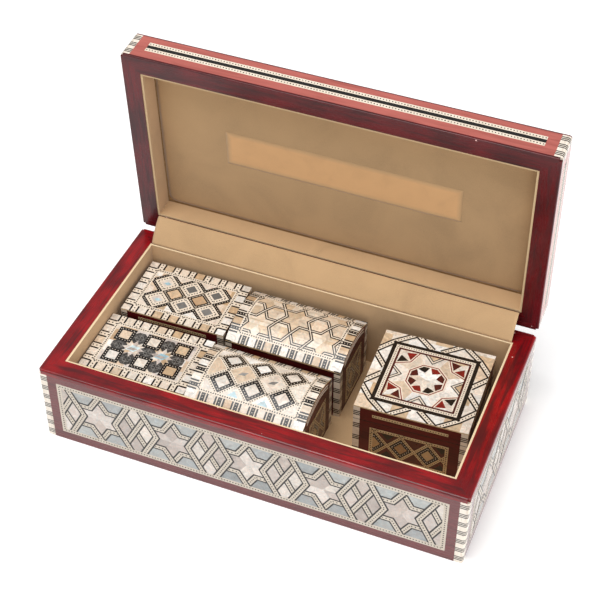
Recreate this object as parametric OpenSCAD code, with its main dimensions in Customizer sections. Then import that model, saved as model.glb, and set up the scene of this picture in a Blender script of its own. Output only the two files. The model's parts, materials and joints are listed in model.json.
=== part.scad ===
// Inlaid wooden jewellery box, lid open, with five small inlaid boxes standing in its tray.
// Millimetres, +Z up. The origin is the middle of the large box, on the table.
// X runs from left to right, Y from the front to the hinges. Each node is one separate piece.

/* [Large box] */
// Outer length, left to right
body_w = 250; // [200:1:300]
// Outer depth, front to back, without the hinges
body_d = 130; // [110:1:160]
// Height of the base, up to where the lid meets it
body_h = 53; // [45:1:80]
// Height of the closed lid above the base
lid_h = 20; // [16:1:30]
// Thickness of the walls, and so the width of the red rims
wall_t = 11; // [8:0.5:15]
// How far the lid stands open, in degrees
lid_open = 86; // [0:1:86]

/* [Rims, posts and veneers] */
// Height of the red rim on the base
rim_h = 3.2; // [2:0.2:8]
// Height of the red rim on the lid
lid_rim_h = 1.6; // [1.4:0.2:5]
// Radius of the rounded upright corners
corner_r = 1.6; // [1.4:0.2:4.4]
// Radius of the rounded outer edge of the base rim
rim_r = 1.2; // [0.4:0.2:1.4]
// Side of the square striped corner posts
post_w = 5; // [4.5:0.5:7]
// Thickness of the inlaid veneers
veneer_t = 0.8; // [0.6:0.1:1.5]

/* [Boards and linings] */
// Thickness of the bottom board
bottom_t = 5; // [3:0.5:6]
// Thickness of the board that closes the lid
lid_board_t = 5; // [4:0.5:6]
// Thickness of the suede-covered linings
lining_t = 1.2; // [0.8:0.1:2]
// How far the top edge of a lining stays below the rim
lining_drop = 0.4; // [0.2:0.1:2]

/* [Hinges] */
// Distance of each hinge from the middle
hinge_x = 78; // [50:1:100]
// Length of a hinge, along the edge
hinge_w = 24; // [18:1:30]
// Height of one hinge leaf
leaf_h = 11; // [9:1:12]
// Thickness of a hinge leaf
leaf_t = 0.7; // [0.5:0.1:1]
// Outer radius of the hinge barrel
barrel_r = 1.2; // [1.1:0.1:1.4]
// Radius of the hinge pin
pin_r = 0.6; // [0.5:0.05:0.7]

/* [Small boxes] */
// Length of the flat boxes
flat_w = 65; // [60:0.5:65]
// Depth of the flat boxes and the domed boxes
small_d = 44; // [40:0.5:45]
// Height of the flat boxes, closed
flat_h = 37; // [30:0.5:40]
// Length of the domed boxes
dome_w = 71; // [66:0.5:71]
// Height of the domed boxes up to the foot of the dome
dome_foot = 36.5; // [30:0.5:38]
// Rise of the dome above its foot
dome_rise = 7; // [4:0.5:9]
// Length of the square box
square_w = 65; // [60:0.5:66]
// Depth of the square box
square_d = 62.5; // [58:0.5:65]
// Height of the square box, closed
square_h = 40; // [34:0.5:43]
// Height of the lid of a flat box
flat_lid = 8.5; // [7:0.5:12]
// Height of the lid of the square box
square_lid = 10.5; // [8:0.5:13]
// Thickness of the walls of the small boxes
small_t = 4; // [3:0.5:6]

/* [Show] */
// Piece to draw: all, or one name from the list

/* [Hidden] */
$fn = 48;
hw = body_w / 2;
hd = body_d / 2;
// Play between the closed lid and the base
lid_gap = 0.2;
// The hinge axis stands this far behind the box
hinge_out = 1.5;
hinge_y = hd + hinge_out;
hinge_z = body_h + lid_gap / 2;
// Height of the parting face of the closed lid
lid_z = body_h + lid_gap;
// Depth of the hollow in the lid, down to its lining
board_z = lid_z + lid_h - veneer_t - lid_board_t;
// Thickness of the lining on the bottom board, and the height of the tray's floor
floor_lining_t = 1;
floor_z = bottom_t + floor_lining_t;
// Play around a hinge pin, and the gap between two knuckles
pin_play = 0.05;
knuckle_gap = 0.3;
screw_r = 0.7;
screw_head_r = 1.4;
screw_head_t = 0.35;
screw_len = 5;
// Glue line between two boards of a small box
glue = 0.02;
// Play of the lip under a small lid, and its depth
lip_play = 0.4;
lip_h = 3;
small_floor_t = 3;
small_floor_gap = 0.6;
// Where each small box stands: middle in X, middle in Y, turn in degrees
flat_rear_at = [-78, 27.5, 1];
flat_front_at = [-79.4, -22.5, 0.5];
dome_rear_at = [-7.2, 26.2, -0.4];
dome_front_at = [-10.4, -23.2, -0.6];
square_at = [75.6, 13.8, 2.5];

wood_red = [0.55, 0.07, 0.06];
wood_brown = [0.5, 0.32, 0.3];
wood_core = [0.62, 0.45, 0.3];
wood_dark = [0.25, 0.07, 0.06];
suede = [0.76, 0.62, 0.45];
pearl = [0.85, 0.8, 0.74];
post_cream = [0.88, 0.81, 0.71];
brass = [0.72, 0.55, 0.25];

// Puts a piece of the closed lid where it stands with the lid open
module lid_place() {
  translate([0, hinge_y, hinge_z])
    rotate([-lid_open, 0, 0])
      translate([0, -hinge_y, -hinge_z])
        children();
}

// Plan of the front wall, mitred at both ends and cut back for the corner posts
module long_wall_plan() {
  polygon([
    [-hw + post_w, -hd + veneer_t], [hw - post_w, -hd + veneer_t],
    [hw - post_w, -hd + post_w], [hw - wall_t, -hd + wall_t],
    [-hw + wall_t, -hd + wall_t], [-hw + post_w, -hd + post_w]
  ]);
}

// Plan of the left wall, mitred at both ends
module short_wall_plan() {
  polygon([
    [-hw + veneer_t, hd - post_w], [-hw + veneer_t, -hd + post_w],
    [-hw + post_w, -hd + post_w], [-hw + wall_t, -hd + wall_t],
    [-hw + wall_t, hd - wall_t], [-hw + post_w, hd - post_w]
  ]);
}

// Section of a rim, outer face at x = 0, rounded at its upper outer edge by r
module rim_section(w, h, r) {
  translate([r, 0])
    square([w - r, h]);
  square([w, h - r]);
  intersection() {
    translate([r, h - r])
      circle(r);
    square([w, h]);
  }
}

// A length of rim along Y, outer face at x = 0, with half of each rounded corner
module rim_rail(len, h, r) {
  end = len / 2;
  intersection() {
    linear_extrude(h)
      polygon([
        [0, -end + corner_r], [0, end - corner_r],
        [corner_r, end - corner_r], [wall_t, end - wall_t],
        [wall_t, -end + wall_t], [corner_r, -end + corner_r]
      ]);
    translate([0, end, 0])
      rotate([90, 0, 0])
        linear_extrude(len)
          rim_section(wall_t, h, r);
  }
  for (s = [0, 1])
    mirror([0, s, 0])
      translate([corner_r, -end + corner_r, 0])
        rotate([0, 0, 180])
          rotate_extrude(angle = 45)
            translate([corner_r, 0])
              mirror([1, 0])
                intersection() {
                  rim_section(wall_t, h, r);
                  square([corner_r, h]);
                }
}

// The front rim
module rim_long(h, r) {
  rotate([0, 0, 90])
    translate([-hd, 0, 0])
      rim_rail(body_w, h, r);
}

// The left rim
module rim_short(h, r) {
  translate([-hw, 0, 0])
    rim_rail(body_d, h, r);
}

// The rims at the base, standing on the walls
module base_rim_at() {
  translate([0, 0, body_h - rim_h])
    children();
}

// The rims of the lid, face down on the parting face
module lid_rim_at() {
  lid_place()
    translate([0, 0, lid_z + lid_rim_h])
      mirror([0, 0, 1])
        children();
}

// Four corner posts from z = 0 to h, rounded outside
module posts(h) {
  for (sx = [0, 1])
    for (sy = [0, 1])
      mirror([sx, 0, 0])
        mirror([0, sy, 0])
          translate([-hw, -hd, 0])
            linear_extrude(h)
              intersection() {
                square([post_w, post_w]);
                union() {
                  translate([corner_r, 0])
                    square([post_w, post_w]);
                  translate([0, corner_r])
                    square([post_w, post_w]);
                  translate([corner_r, corner_r])
                    circle(corner_r);
                }
              }
}

// Outline of the whole box with rounded corners
module rounded_plan() {
  square([body_w - 2 * corner_r, body_d], center = true);
  square([body_w, body_d - 2 * corner_r], center = true);
  for (sx = [-1, 1])
    for (sy = [-1, 1])
      translate([sx * (hw - corner_r), sy * (hd - corner_r)])
        circle(corner_r);
}

// A veneer strip along the front face
module long_veneer(h) {
  translate([-hw + post_w, -hd, 0])
    cube([body_w - 2 * post_w, veneer_t, h]);
}

// A veneer strip along the left face
module short_veneer(h) {
  translate([-hw, -hd + post_w, 0])
    cube([veneer_t, body_d - 2 * post_w, h]);
}

// ---- base ----
base_wall_h = body_h - rim_h;

module base_bottom() {
  color(wood_core)
    translate([-hw + wall_t, -hd + wall_t, 0])
      cube([body_w - 2 * wall_t, body_d - 2 * wall_t, bottom_t]);
}

module base_wall_front() {
  color(wood_brown)
    linear_extrude(base_wall_h)
      long_wall_plan();
}

module base_wall_back() {
  color(wood_brown)
    mirror([0, 1, 0])
      linear_extrude(base_wall_h)
        long_wall_plan();
}

module base_wall_left() {
  color(wood_brown)
    linear_extrude(base_wall_h)
      short_wall_plan();
}

module base_wall_right() {
  color(wood_brown)
    mirror([1, 0, 0])
      linear_extrude(base_wall_h)
        short_wall_plan();
}

module base_rim_front() {
  color(wood_red)
    base_rim_at()
      rim_long(rim_h, rim_r);
}

module base_rim_back() {
  color(wood_red)
    base_rim_at()
      mirror([0, 1, 0])
        rim_long(rim_h, rim_r);
}

module base_rim_left() {
  color(wood_red)
    base_rim_at()
      rim_short(rim_h, rim_r);
}

module base_rim_right() {
  color(wood_red)
    base_rim_at()
      mirror([1, 0, 0])
        rim_short(rim_h, rim_r);
}

module base_corner_posts() {
  color(post_cream)
    posts(base_wall_h);
}

module base_veneer_front() {
  color(pearl)
    long_veneer(base_wall_h);
}

module base_veneer_back() {
  color(wood_brown)
    mirror([0, 1, 0])
      long_veneer(base_wall_h);
}

module base_veneer_sides() {
  color(pearl)
    for (s = [0, 1])
      mirror([s, 0, 0])
        short_veneer(base_wall_h);
}

lining_in = wall_t + lining_t;

module base_lining_floor() {
  color(suede)
    translate([-hw + lining_in, -hd + lining_in, bottom_t])
      cube([body_w - 2 * lining_in, body_d - 2 * lining_in, floor_lining_t]);
}

module base_lining_long() {
  color(suede)
    for (s = [0, 1])
      mirror([0, s, 0])
        translate([-hw + wall_t, -hd + wall_t, bottom_t])
          cube([body_w - 2 * wall_t, lining_t, body_h - lining_drop - bottom_t]);
}

module base_lining_short() {
  color(suede)
    for (s = [0, 1])
      mirror([s, 0, 0])
        translate([-hw + wall_t, -hd + lining_in, bottom_t])
          cube([lining_t, body_d - 2 * lining_in, body_h - lining_drop - bottom_t]);
}

// ---- lid ----
lid_wall_h = lid_h - lid_rim_h - veneer_t;

module lid_wall_at() {
  lid_place()
    translate([0, 0, lid_z + lid_rim_h])
      children();
}

module lid_board() {
  color(wood_core)
    lid_place()
      translate([-hw + wall_t, -hd + wall_t, board_z])
        cube([body_w - 2 * wall_t, body_d - 2 * wall_t, lid_board_t]);
}

module lid_wall_front() {
  color(wood_brown)
    lid_wall_at()
      linear_extrude(lid_wall_h)
        long_wall_plan();
}

module lid_wall_back() {
  color(wood_brown)
    lid_wall_at()
      mirror([0, 1, 0])
        linear_extrude(lid_wall_h)
          long_wall_plan();
}

module lid_wall_left() {
  color(wood_brown)
    lid_wall_at()
      linear_extrude(lid_wall_h)
        short_wall_plan();
}

module lid_wall_right() {
  color(wood_brown)
    lid_wall_at()
      mirror([1, 0, 0])
        linear_extrude(lid_wall_h)
          short_wall_plan();
}

// The small rounding of the lid's rim
lid_rim_r = 0.6;

module lid_rim_front() {
  color(wood_red)
    lid_rim_at()
      rim_long(lid_rim_h, lid_rim_r);
}

module lid_rim_back() {
  color(wood_red)
    lid_rim_at()
      mirror([0, 1, 0])
        rim_long(lid_rim_h, lid_rim_r);
}

module lid_rim_left() {
  color(wood_red)
    lid_rim_at()
      rim_short(lid_rim_h, lid_rim_r);
}

module lid_rim_right() {
  color(wood_red)
    lid_rim_at()
      mirror([1, 0, 0])
        rim_short(lid_rim_h, lid_rim_r);
}

module lid_corner_posts() {
  color(post_cream)
    lid_wall_at()
      posts(lid_wall_h);
}

module lid_veneer_front() {
  color(wood_brown)
    lid_wall_at()
      long_veneer(lid_wall_h);
}

module lid_veneer_back() {
  color(wood_brown)
    lid_wall_at()
      mirror([0, 1, 0])
        long_veneer(lid_wall_h);
}

module lid_veneer_sides() {
  color(wood_brown)
    lid_wall_at()
      for (s = [0, 1])
        mirror([s, 0, 0])
          short_veneer(lid_wall_h);
}

module lid_veneer_top() {
  color(pearl)
    lid_place()
      translate([0, 0, lid_z + lid_h - veneer_t])
        linear_extrude(veneer_t)
          rounded_plan();
}

module lid_lining_pad() {
  color(suede)
    lid_place()
      translate([-hw + wall_t, -hd + wall_t, board_z - lining_t])
        cube([body_w - 2 * wall_t, body_d - 2 * wall_t, lining_t]);
}

module lid_lining_edges() {
  edge_h = board_z - lining_t - lid_z - lining_drop;
  color(suede)
    lid_place()
      translate([0, 0, lid_z + lining_drop])
        for (s = [0, 1]) {
          mirror([0, s, 0])
            translate([-hw + wall_t, -hd + wall_t, 0])
              cube([body_w - 2 * wall_t, lining_t, edge_h]);
          mirror([s, 0, 0])
            translate([-hw + wall_t, -hd + lining_in + glue, 0])
              cube([lining_t, body_d - 2 * lining_in - 2 * glue, edge_h]);
        }
}

// A plain satin label on the pad
label_w = 142;
label_d = 24;
label_t = 0.3;
label_x = 0.5;
label_y = -3;

module lid_label() {
  color([0.85, 0.62, 0.42])
    lid_place()
      translate([label_x, label_y, board_z - lining_t - label_t / 2])
        cube([label_w, label_d, label_t], center = true);
}

// ---- hinges ----
knuckle_w = hinge_w / 3;

// One knuckle of a barrel; at is its middle along X
module knuckle(at, len, bore) {
  translate([at - len / 2, hinge_y, hinge_z])
    rotate([0, 90, 0])
      difference() {
        cylinder(h = len, r = barrel_r);
        translate([0, 0, -1])
          cylinder(h = len + 2, r = bore);
      }
}

// A leaf plate on the back of the base, from far below the barrel up to its knuckles
module leaf_plate(knuckles) {
  gap = barrel_r + 0.4;
  difference() {
    union() {
      translate([-hinge_w / 2, hd, body_h - leaf_h])
        cube([hinge_w, leaf_t, leaf_h - gap]);
      for (k = knuckles)
        translate([k * knuckle_w - knuckle_w / 2 + knuckle_gap / 2, hd, body_h - leaf_h])
          cube([knuckle_w - knuckle_gap, leaf_t, leaf_h - 0.1]);
    }
    for (s = [-1, 1])
      translate([s * hinge_w / 3, hd - 1, body_h - leaf_h * 0.6])
        rotate([-90, 0, 0])
          cylinder(h = 4, r = screw_r + 0.1);
  }
}

// Moves a hinge to both of its places
module at_hinges() {
  for (s = [-1, 1])
    translate([s * hinge_x, 0, 0])
      children();
}

module hinge_leaves_base() {
  color(brass)
    at_hinges()
      difference() {
        union() {
          leaf_plate([-1, 1]);
          for (k = [-1, 1])
            knuckle(k * knuckle_w, knuckle_w - knuckle_gap, pin_r + 0.01);
        }
        for (k = [-1, 1])
          translate([k * knuckle_w - knuckle_w, hinge_y, hinge_z])
            rotate([0, 90, 0])
              cylinder(h = 2 * knuckle_w, r = pin_r + 0.01);
      }
}

module hinge_leaves_lid() {
  color(brass)
    lid_place()
      at_hinges()
        difference() {
          union() {
            translate([0, 0, 2 * hinge_z])
              mirror([0, 0, 1])
                leaf_plate([0]);
            knuckle(0, knuckle_w - knuckle_gap, pin_r + pin_play);
          }
          translate([-knuckle_w, hinge_y, hinge_z])
            rotate([0, 90, 0])
              cylinder(h = 2 * knuckle_w, r = pin_r + pin_play);
        }
}

module hinge_pins() {
  color(brass)
    at_hinges()
      translate([-hinge_w / 2, hinge_y, hinge_z])
        rotate([0, 90, 0])
          cylinder(h = hinge_w, r = pin_r);
}

// The two screws of a leaf on the back of the base
module leaf_screws() {
  for (s = [-1, 1])
    translate([s * hinge_w / 3, hd + leaf_t, body_h - leaf_h * 0.6])
      rotate([-90, 0, 0]) {
        cylinder(h = screw_head_t, r = screw_head_r);
        translate([0, 0, -screw_len])
          cylinder(h = screw_len + 0.1, r = screw_r);
      }
}

module hinge_screws_base() {
  color(brass)
    at_hinges()
      leaf_screws();
}

module hinge_screws_lid() {
  color(brass)
    lid_place()
      at_hinges()
        translate([0, 0, 2 * hinge_z])
          mirror([0, 0, 1])
            leaf_screws();
}

// ---- cloth between the back rims ----
cloth_t = 0.6;
cloth_bulge = 1.2;
cloth_steps = 10;
// Lower edge, on the inner edge of the base rim
cloth_y0 = hd - wall_t - 0.4;
cloth_z0 = body_h + 0.25;
// Upper edge, on the inner edge of the lid rim, with the lid open
cloth_a = wall_t + hinge_out + 0.4;
cloth_y1 = hinge_y - cloth_a * cos(lid_open) - 0.35;
cloth_z1 = hinge_z + cloth_a * sin(lid_open);

// A point across the cloth, u from 0 to 1, moved out of its middle by off
function cloth_point(u, off) = [
  cloth_y0 + (cloth_y1 - cloth_y0) * u - (cloth_bulge * sin(180 * u) + off) * 0.7,
  cloth_z0 + (cloth_z1 - cloth_z0) * u + (cloth_bulge * sin(180 * u) + off) * 0.7
];

module hinge_cloth() {
  color(suede)
    translate([-hw + wall_t + 1, 0, 0])
      rotate([90, 0, 90])
        linear_extrude(body_w - 2 * wall_t - 2)
          polygon(concat(
            [for (i = [0:cloth_steps]) cloth_point(i / cloth_steps, 0)],
            [for (i = [cloth_steps:-1:0]) cloth_point(i / cloth_steps, cloth_t)]
          ));
}

// ---- small boxes ----
// Stands a small box in the tray
module stand(at) {
  translate([at[0], at[1], floor_z])
    rotate([0, 0, at[2]])
      children();
}

// Four mitred boards around a small box, w by d and h high
module small_walls(w, d, h) {
  for (s = [0, 1]) {
    mirror([0, s, 0])
      linear_extrude(h)
        polygon([
          [-w / 2 + glue, -d / 2], [w / 2 - glue, -d / 2],
          [w / 2 - small_t - glue, -d / 2 + small_t], [-w / 2 + small_t + glue, -d / 2 + small_t]
        ]);
    mirror([s, 0, 0])
      linear_extrude(h)
        polygon([
          [-w / 2, -d / 2 + glue], [-w / 2 + small_t, -d / 2 + small_t + glue],
          [-w / 2 + small_t, d / 2 - small_t - glue], [-w / 2, d / 2 - glue]
        ]);
  }
}

// Floor board of a small box, lined with suede
module small_floor(w, d) {
  in = small_t + glue;
  translate([-w / 2 + in, -d / 2 + in, small_floor_gap])
    cube([w - 2 * in, d - 2 * in, small_floor_t]);
}

// Lip that keeps a small lid in place, hanging below z = 0
module small_lip(w, d) {
  in = small_t + lip_play;
  translate([-w / 2 + in, -d / 2 + in, -lip_h])
    cube([w - 2 * in, d - 2 * in, lip_h + 0.5]);
}

// Flat lid without its inlay, standing on z = 0
module flat_lid_board(w, d, h) {
  translate([-w / 2, -d / 2, 0])
    cube([w, d, h - veneer_t]);
  small_lip(w, d);
}

// Flat inlay on top of a lid of height h
module flat_inlay(w, d, h) {
  translate([-w / 2, -d / 2, h - veneer_t])
    cube([w, d, veneer_t]);
}

// End view of a dome: depth d, foot height f, rise r, shrunk by s all round the arc
module dome_section(d, f, r, s) {
  rad = (d * d / 4 + r * r) / (2 * r);
  intersection() {
    translate([0, f + r - rad])
      circle(rad - s, $fn = 180);
    translate([-d / 2, 0])
      square([d, f + r + 1]);
  }
}

// Height of the upright foot of a domed lid
dome_lid_foot = 2;

// The dome as a solid along X, shrunk by s all round the arc
module dome_solid(s) {
  translate([-dome_w / 2, 0, 0])
    rotate([90, 0, 90])
      linear_extrude(dome_w)
        dome_section(small_d, dome_lid_foot, dome_rise, s);
}

module dome_lid_board() {
  dome_solid(veneer_t);
  small_lip(dome_w, small_d);
}

module dome_inlay() {
  difference() {
    dome_solid(0);
    translate([-1, 0, 0])
      dome_solid(veneer_t);
    translate([1, 0, 0])
      dome_solid(veneer_t);
  }
}

flat_wall_h = flat_h - flat_lid;
dome_wall_h = dome_foot - dome_lid_foot;
square_wall_h = square_h - square_lid;

module flat_rear_walls() {
  color(wood_dark)
    stand(flat_rear_at)
      small_walls(flat_w, small_d, flat_wall_h);
}

module flat_rear_floor() {
  color(suede)
    stand(flat_rear_at)
      small_floor(flat_w, small_d);
}

module flat_rear_lid() {
  color(wood_dark)
    stand(flat_rear_at)
      translate([0, 0, flat_wall_h])
        flat_lid_board(flat_w, small_d, flat_lid);
}

module flat_rear_inlay() {
  color(pearl)
    stand(flat_rear_at)
      translate([0, 0, flat_wall_h])
        flat_inlay(flat_w, small_d, flat_lid);
}

module flat_front_walls() {
  color(wood_dark)
    stand(flat_front_at)
      small_walls(flat_w, small_d, flat_wall_h);
}

module flat_front_floor() {
  color(suede)
    stand(flat_front_at)
      small_floor(flat_w, small_d);
}

module flat_front_lid() {
  color(wood_dark)
    stand(flat_front_at)
      translate([0, 0, flat_wall_h])
        flat_lid_board(flat_w, small_d, flat_lid);
}

module flat_front_inlay() {
  color(pearl)
    stand(flat_front_at)
      translate([0, 0, flat_wall_h])
        flat_inlay(flat_w, small_d, flat_lid);
}

module dome_rear_walls() {
  color(wood_dark)
    stand(dome_rear_at)
      small_walls(dome_w, small_d, dome_wall_h);
}

module dome_rear_floor() {
  color(suede)
    stand(dome_rear_at)
      small_floor(dome_w, small_d);
}

module dome_rear_lid() {
  color(wood_dark)
    stand(dome_rear_at)
      translate([0, 0, dome_wall_h])
        dome_lid_board();
}

module dome_rear_inlay() {
  color(pearl)
    stand(dome_rear_at)
      translate([0, 0, dome_wall_h])
        dome_inlay();
}

module dome_front_walls() {
  color(wood_dark)
    stand(dome_front_at)
      small_walls(dome_w, small_d, dome_wall_h);
}

module dome_front_floor() {
  color(suede)
    stand(dome_front_at)
      small_floor(dome_w, small_d);
}

module dome_front_lid() {
  color(wood_dark)
    stand(dome_front_at)
      translate([0, 0, dome_wall_h])
        dome_lid_board();
}

module dome_front_inlay() {
  color(pearl)
    stand(dome_front_at)
      translate([0, 0, dome_wall_h])
        dome_inlay();
}

module square_walls() {
  color(wood_dark)
    stand(square_at)
      small_walls(square_w, square_d, square_wall_h);
}

module square_floor() {
  color(suede)
    stand(square_at)
      small_floor(square_w, square_d);
}

module square_lid_board() {
  color(wood_dark)
    stand(square_at)
      translate([0, 0, square_wall_h])
        flat_lid_board(square_w, square_d, square_lid);
}

module square_inlay() {
  color(pearl)
    stand(square_at)
      translate([0, 0, square_wall_h])
        flat_inlay(square_w, square_d, square_lid);
}

// ---- drawing ----
base_bottom();
base_wall_front();
base_wall_back();
base_wall_left();
base_wall_right();
base_rim_front();
base_rim_back();
base_rim_left();
base_rim_right();
base_corner_posts();
base_veneer_front();
base_veneer_back();
base_veneer_sides();
base_lining_floor();
base_lining_long();
base_lining_short();
lid_board();
lid_wall_front();
lid_wall_back();
lid_wall_left();
lid_wall_right();
lid_rim_front();
lid_rim_back();
lid_rim_left();
lid_rim_right();
lid_corner_posts();
lid_veneer_front();
lid_veneer_back();
lid_veneer_sides();
lid_veneer_top();
lid_lining_pad();
lid_lining_edges();
lid_label();
hinge_leaves_base();
hinge_leaves_lid();
hinge_pins();
hinge_screws_base();
hinge_screws_lid();
hinge_cloth();
flat_rear_walls();
flat_rear_floor();
flat_rear_lid();
flat_rear_inlay();
flat_front_walls();
flat_front_floor();
flat_front_lid();
flat_front_inlay();
dome_rear_walls();
dome_rear_floor();
dome_rear_lid();
dome_rear_inlay();
dome_front_walls();
dome_front_floor();
dome_front_lid();
dome_front_inlay();
square_walls();
square_floor();
square_lid_board();
square_inlay();
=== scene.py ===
"""Inlaid jewellery box with five small lidded boxes in its tray: finishes, inlay and soft linings."""

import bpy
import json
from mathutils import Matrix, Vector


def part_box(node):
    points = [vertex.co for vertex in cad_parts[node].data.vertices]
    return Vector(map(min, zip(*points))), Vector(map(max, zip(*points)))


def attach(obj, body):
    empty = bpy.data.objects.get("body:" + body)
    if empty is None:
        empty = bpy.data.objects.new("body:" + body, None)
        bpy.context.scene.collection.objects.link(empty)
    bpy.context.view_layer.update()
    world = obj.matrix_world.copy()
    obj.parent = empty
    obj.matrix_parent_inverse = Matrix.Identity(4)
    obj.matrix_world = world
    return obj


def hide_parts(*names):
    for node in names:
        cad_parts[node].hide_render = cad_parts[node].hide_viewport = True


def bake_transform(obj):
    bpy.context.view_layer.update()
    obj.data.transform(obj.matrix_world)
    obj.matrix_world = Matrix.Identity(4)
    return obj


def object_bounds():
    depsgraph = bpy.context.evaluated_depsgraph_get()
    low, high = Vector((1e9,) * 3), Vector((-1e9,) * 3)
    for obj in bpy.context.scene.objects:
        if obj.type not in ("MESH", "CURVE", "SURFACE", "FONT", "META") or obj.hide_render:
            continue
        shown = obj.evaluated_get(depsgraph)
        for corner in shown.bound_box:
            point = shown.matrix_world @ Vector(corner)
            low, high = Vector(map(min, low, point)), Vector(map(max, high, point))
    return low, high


bl_info = {
    "name": "Inlaid Jewellery Box",
    "version": (1, 0, 0),
    "blender": (4, 5, 0),
    "location": "3D View > Sidebar > Inlaid Box",
    "description": "Lacquer, shell and wood inlay, linings and stage for a box with five small boxes",
    "category": "Object",
}

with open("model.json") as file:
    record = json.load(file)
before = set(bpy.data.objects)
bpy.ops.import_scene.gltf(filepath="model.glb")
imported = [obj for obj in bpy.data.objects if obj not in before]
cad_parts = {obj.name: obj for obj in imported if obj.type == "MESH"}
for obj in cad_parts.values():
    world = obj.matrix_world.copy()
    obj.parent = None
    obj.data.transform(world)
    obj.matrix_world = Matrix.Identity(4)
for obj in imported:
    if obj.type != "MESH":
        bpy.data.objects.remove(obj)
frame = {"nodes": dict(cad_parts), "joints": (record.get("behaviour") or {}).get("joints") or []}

import json
import math
import random

import bmesh
import bpy
from bpy.props import FloatProperty, FloatVectorProperty, IntProperty, PointerProperty
from mathutils import Matrix, Vector

MM = 0.001
CAD_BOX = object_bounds()
# Width of the striped posts, in millimetres
POST = (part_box("base_veneer_front")[0].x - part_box("base_corner_posts")[0].x) / MM
# Width of the cream corner strips of the small boxes, in millimetres
SMALL_POST = 3.8
# How far tiles reach into the surface, and how high dots stand on it, in millimetres
SUNK, DOT_HEIGHT = 0.03, 0.08
# Height of the narrow strips that follow a dome, in millimetres
DOME_STEP = 2.5
# Directions of the grain
ALONG_X, ALONG_Y = (1, 0, 0), (0, 1, 0)

# ---- where things are, from the frame ----
HINGE = next(j for j in frame["joints"] if j["name"] == "lid_hinge")
HINGE_AT = Vector(HINGE["pos_m"])
CLOSING = math.radians(HINGE["range_deg"][0])
# Carries a point of the closed lid to where it is with the lid open
OPEN_LID = (
    Matrix.Translation(HINGE_AT)
    @ Matrix.Rotation(-CLOSING, 4, Vector(HINGE["axis"]))
    @ Matrix.Translation(-HINGE_AT)
)
LID_UP = (OPEN_LID.to_3x3() @ Vector((0, 0, 1))).normalized()
LID_BACK = (OPEN_LID.to_3x3() @ Vector((0, 1, 0))).normalized()


def tone(code):
    """A screen colour such as C8A47A as linear red, green and blue."""
    parts = [int(code[i : i + 2], 16) / 255 for i in (0, 2, 4)]
    return tuple(p / 12.92 if p <= 0.04045 else ((p + 0.055) / 1.055) ** 2.4 for p in parts)


def rgba(three):
    return (*three, 1)


# ---- sizes and colours that a user would change ----
def colour(name, description, code):
    return FloatVectorProperty(
        name=name, description=description, subtype="COLOR", size=3, min=0, max=1, default=tone(code)
    )


def length(name, description, default, least):
    return FloatProperty(name=name, description=description, unit="LENGTH", default=default, min=least)


def number(name, description, default, least, most):
    return IntProperty(name=name, description=description, default=default, min=least, max=most)


class InlaySizes(bpy.types.PropertyGroup):
    """Sizes of the inlay, in metres."""

    strap_width: length("Strap Width", "Width of a dotted strap with its two dark lines", 0.0044, 0.001)
    strap_line: length("Strap Line", "Width of the dark line on each side of a strap", 0.0009, 0.0002)
    dot_pitch: length("Dot Pitch", "Distance between two dots of a dotted strip", 0.0017, 0.0005)
    dot_size: length("Dot Size", "Side of one square dot", 0.0007, 0.0002)
    stars: number("Stars", "Stars along the front of the box", 5, 1, 9)
    seed: number("Nacre Seed", "Picks the shade of each piece of shell", 7, 0, 9999)


class BoxColours(bpy.types.PropertyGroup):
    """Colours of the finishes."""

    lacquer: colour("Lacquer", "Red lacquer on the rails", "9E0D14")
    lacquer_dark: colour("Lacquer Grain", "Dark grain under the lacquer", "3A0208")
    wine: colour("Wine Lacquer", "Lacquer on the lid's rails", "640A12")
    wine_dark: colour("Wine Grain", "Dark grain of the lid's rails", "1E0406")
    rose: colour("Rose Veneer", "Veneer on the lid's sides", "B9645A")
    rose_dark: colour("Rose Grain", "Dark grain of the rose veneer", "8E3F36")
    # The mauve is the veneer's own dark red-brown with a painted pale reflection mixed into its colour
    mauve_and_sheen: colour("Mauve Veneer And Sheen", "Veneer round the star band", "74393A")
    small: colour("Small Box Wood", "Stained wood of the small boxes", "601013")
    suede: colour("Suede", "Suede of the linings", "C9A67D")
    pad: colour("Pad Suede", "Suede of the lid's pad", "B4936B")
    card: colour("Card Edge", "Cut edge of the linings", "E9D2AC")
    label: colour("Label", "Satin patch in the lid", "D2A472")
    ebony: colour("Ebony", "Dark lines of the posts", "14100F")
    post: colour("Post", "Cream wood of the corner posts", "F2E9DC")


def sizes():
    return bpy.context.scene.inlay_sizes


def colours():
    return bpy.context.scene.box_colours


# ---- shader helpers ----
def fill(tree, node, wires):
    """Wires or sets the inputs of a node."""
    for key, value in wires.items():
        if isinstance(value, bpy.types.NodeSocket):
            tree.links.new(value, node.inputs[key])
        else:
            node.inputs[key].default_value = value


def add(tree, kind, wires=None, **settings):
    """Adds a node, sets it up, and wires or fills its inputs."""
    node = tree.nodes.new(kind)
    for key, value in settings.items():
        setattr(node, key, value)
    fill(tree, node, wires or {})
    return node


def calc(tree, operation, *values):
    """One step of arithmetic; values are sockets or numbers."""
    return add(tree, "ShaderNodeMath", dict(enumerate(values)), operation=operation).outputs[0]


def mix(tree, share, first, second, blend="MIX"):
    """A blend of two colours."""
    wires = {"Factor": share, 6: first, 7: second}
    return add(tree, "ShaderNodeMix", wires, data_type="RGBA", blend_type=blend).outputs[2]


def noise(tree, vector, scale, detail=2, **more):
    """Noise over a surface; more gives its Roughness and Distortion."""
    wires = {"Vector": vector, "Scale": scale, "Detail": detail, **more}
    return add(tree, "ShaderNodeTexNoise", wires).outputs["Fac"]


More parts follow.
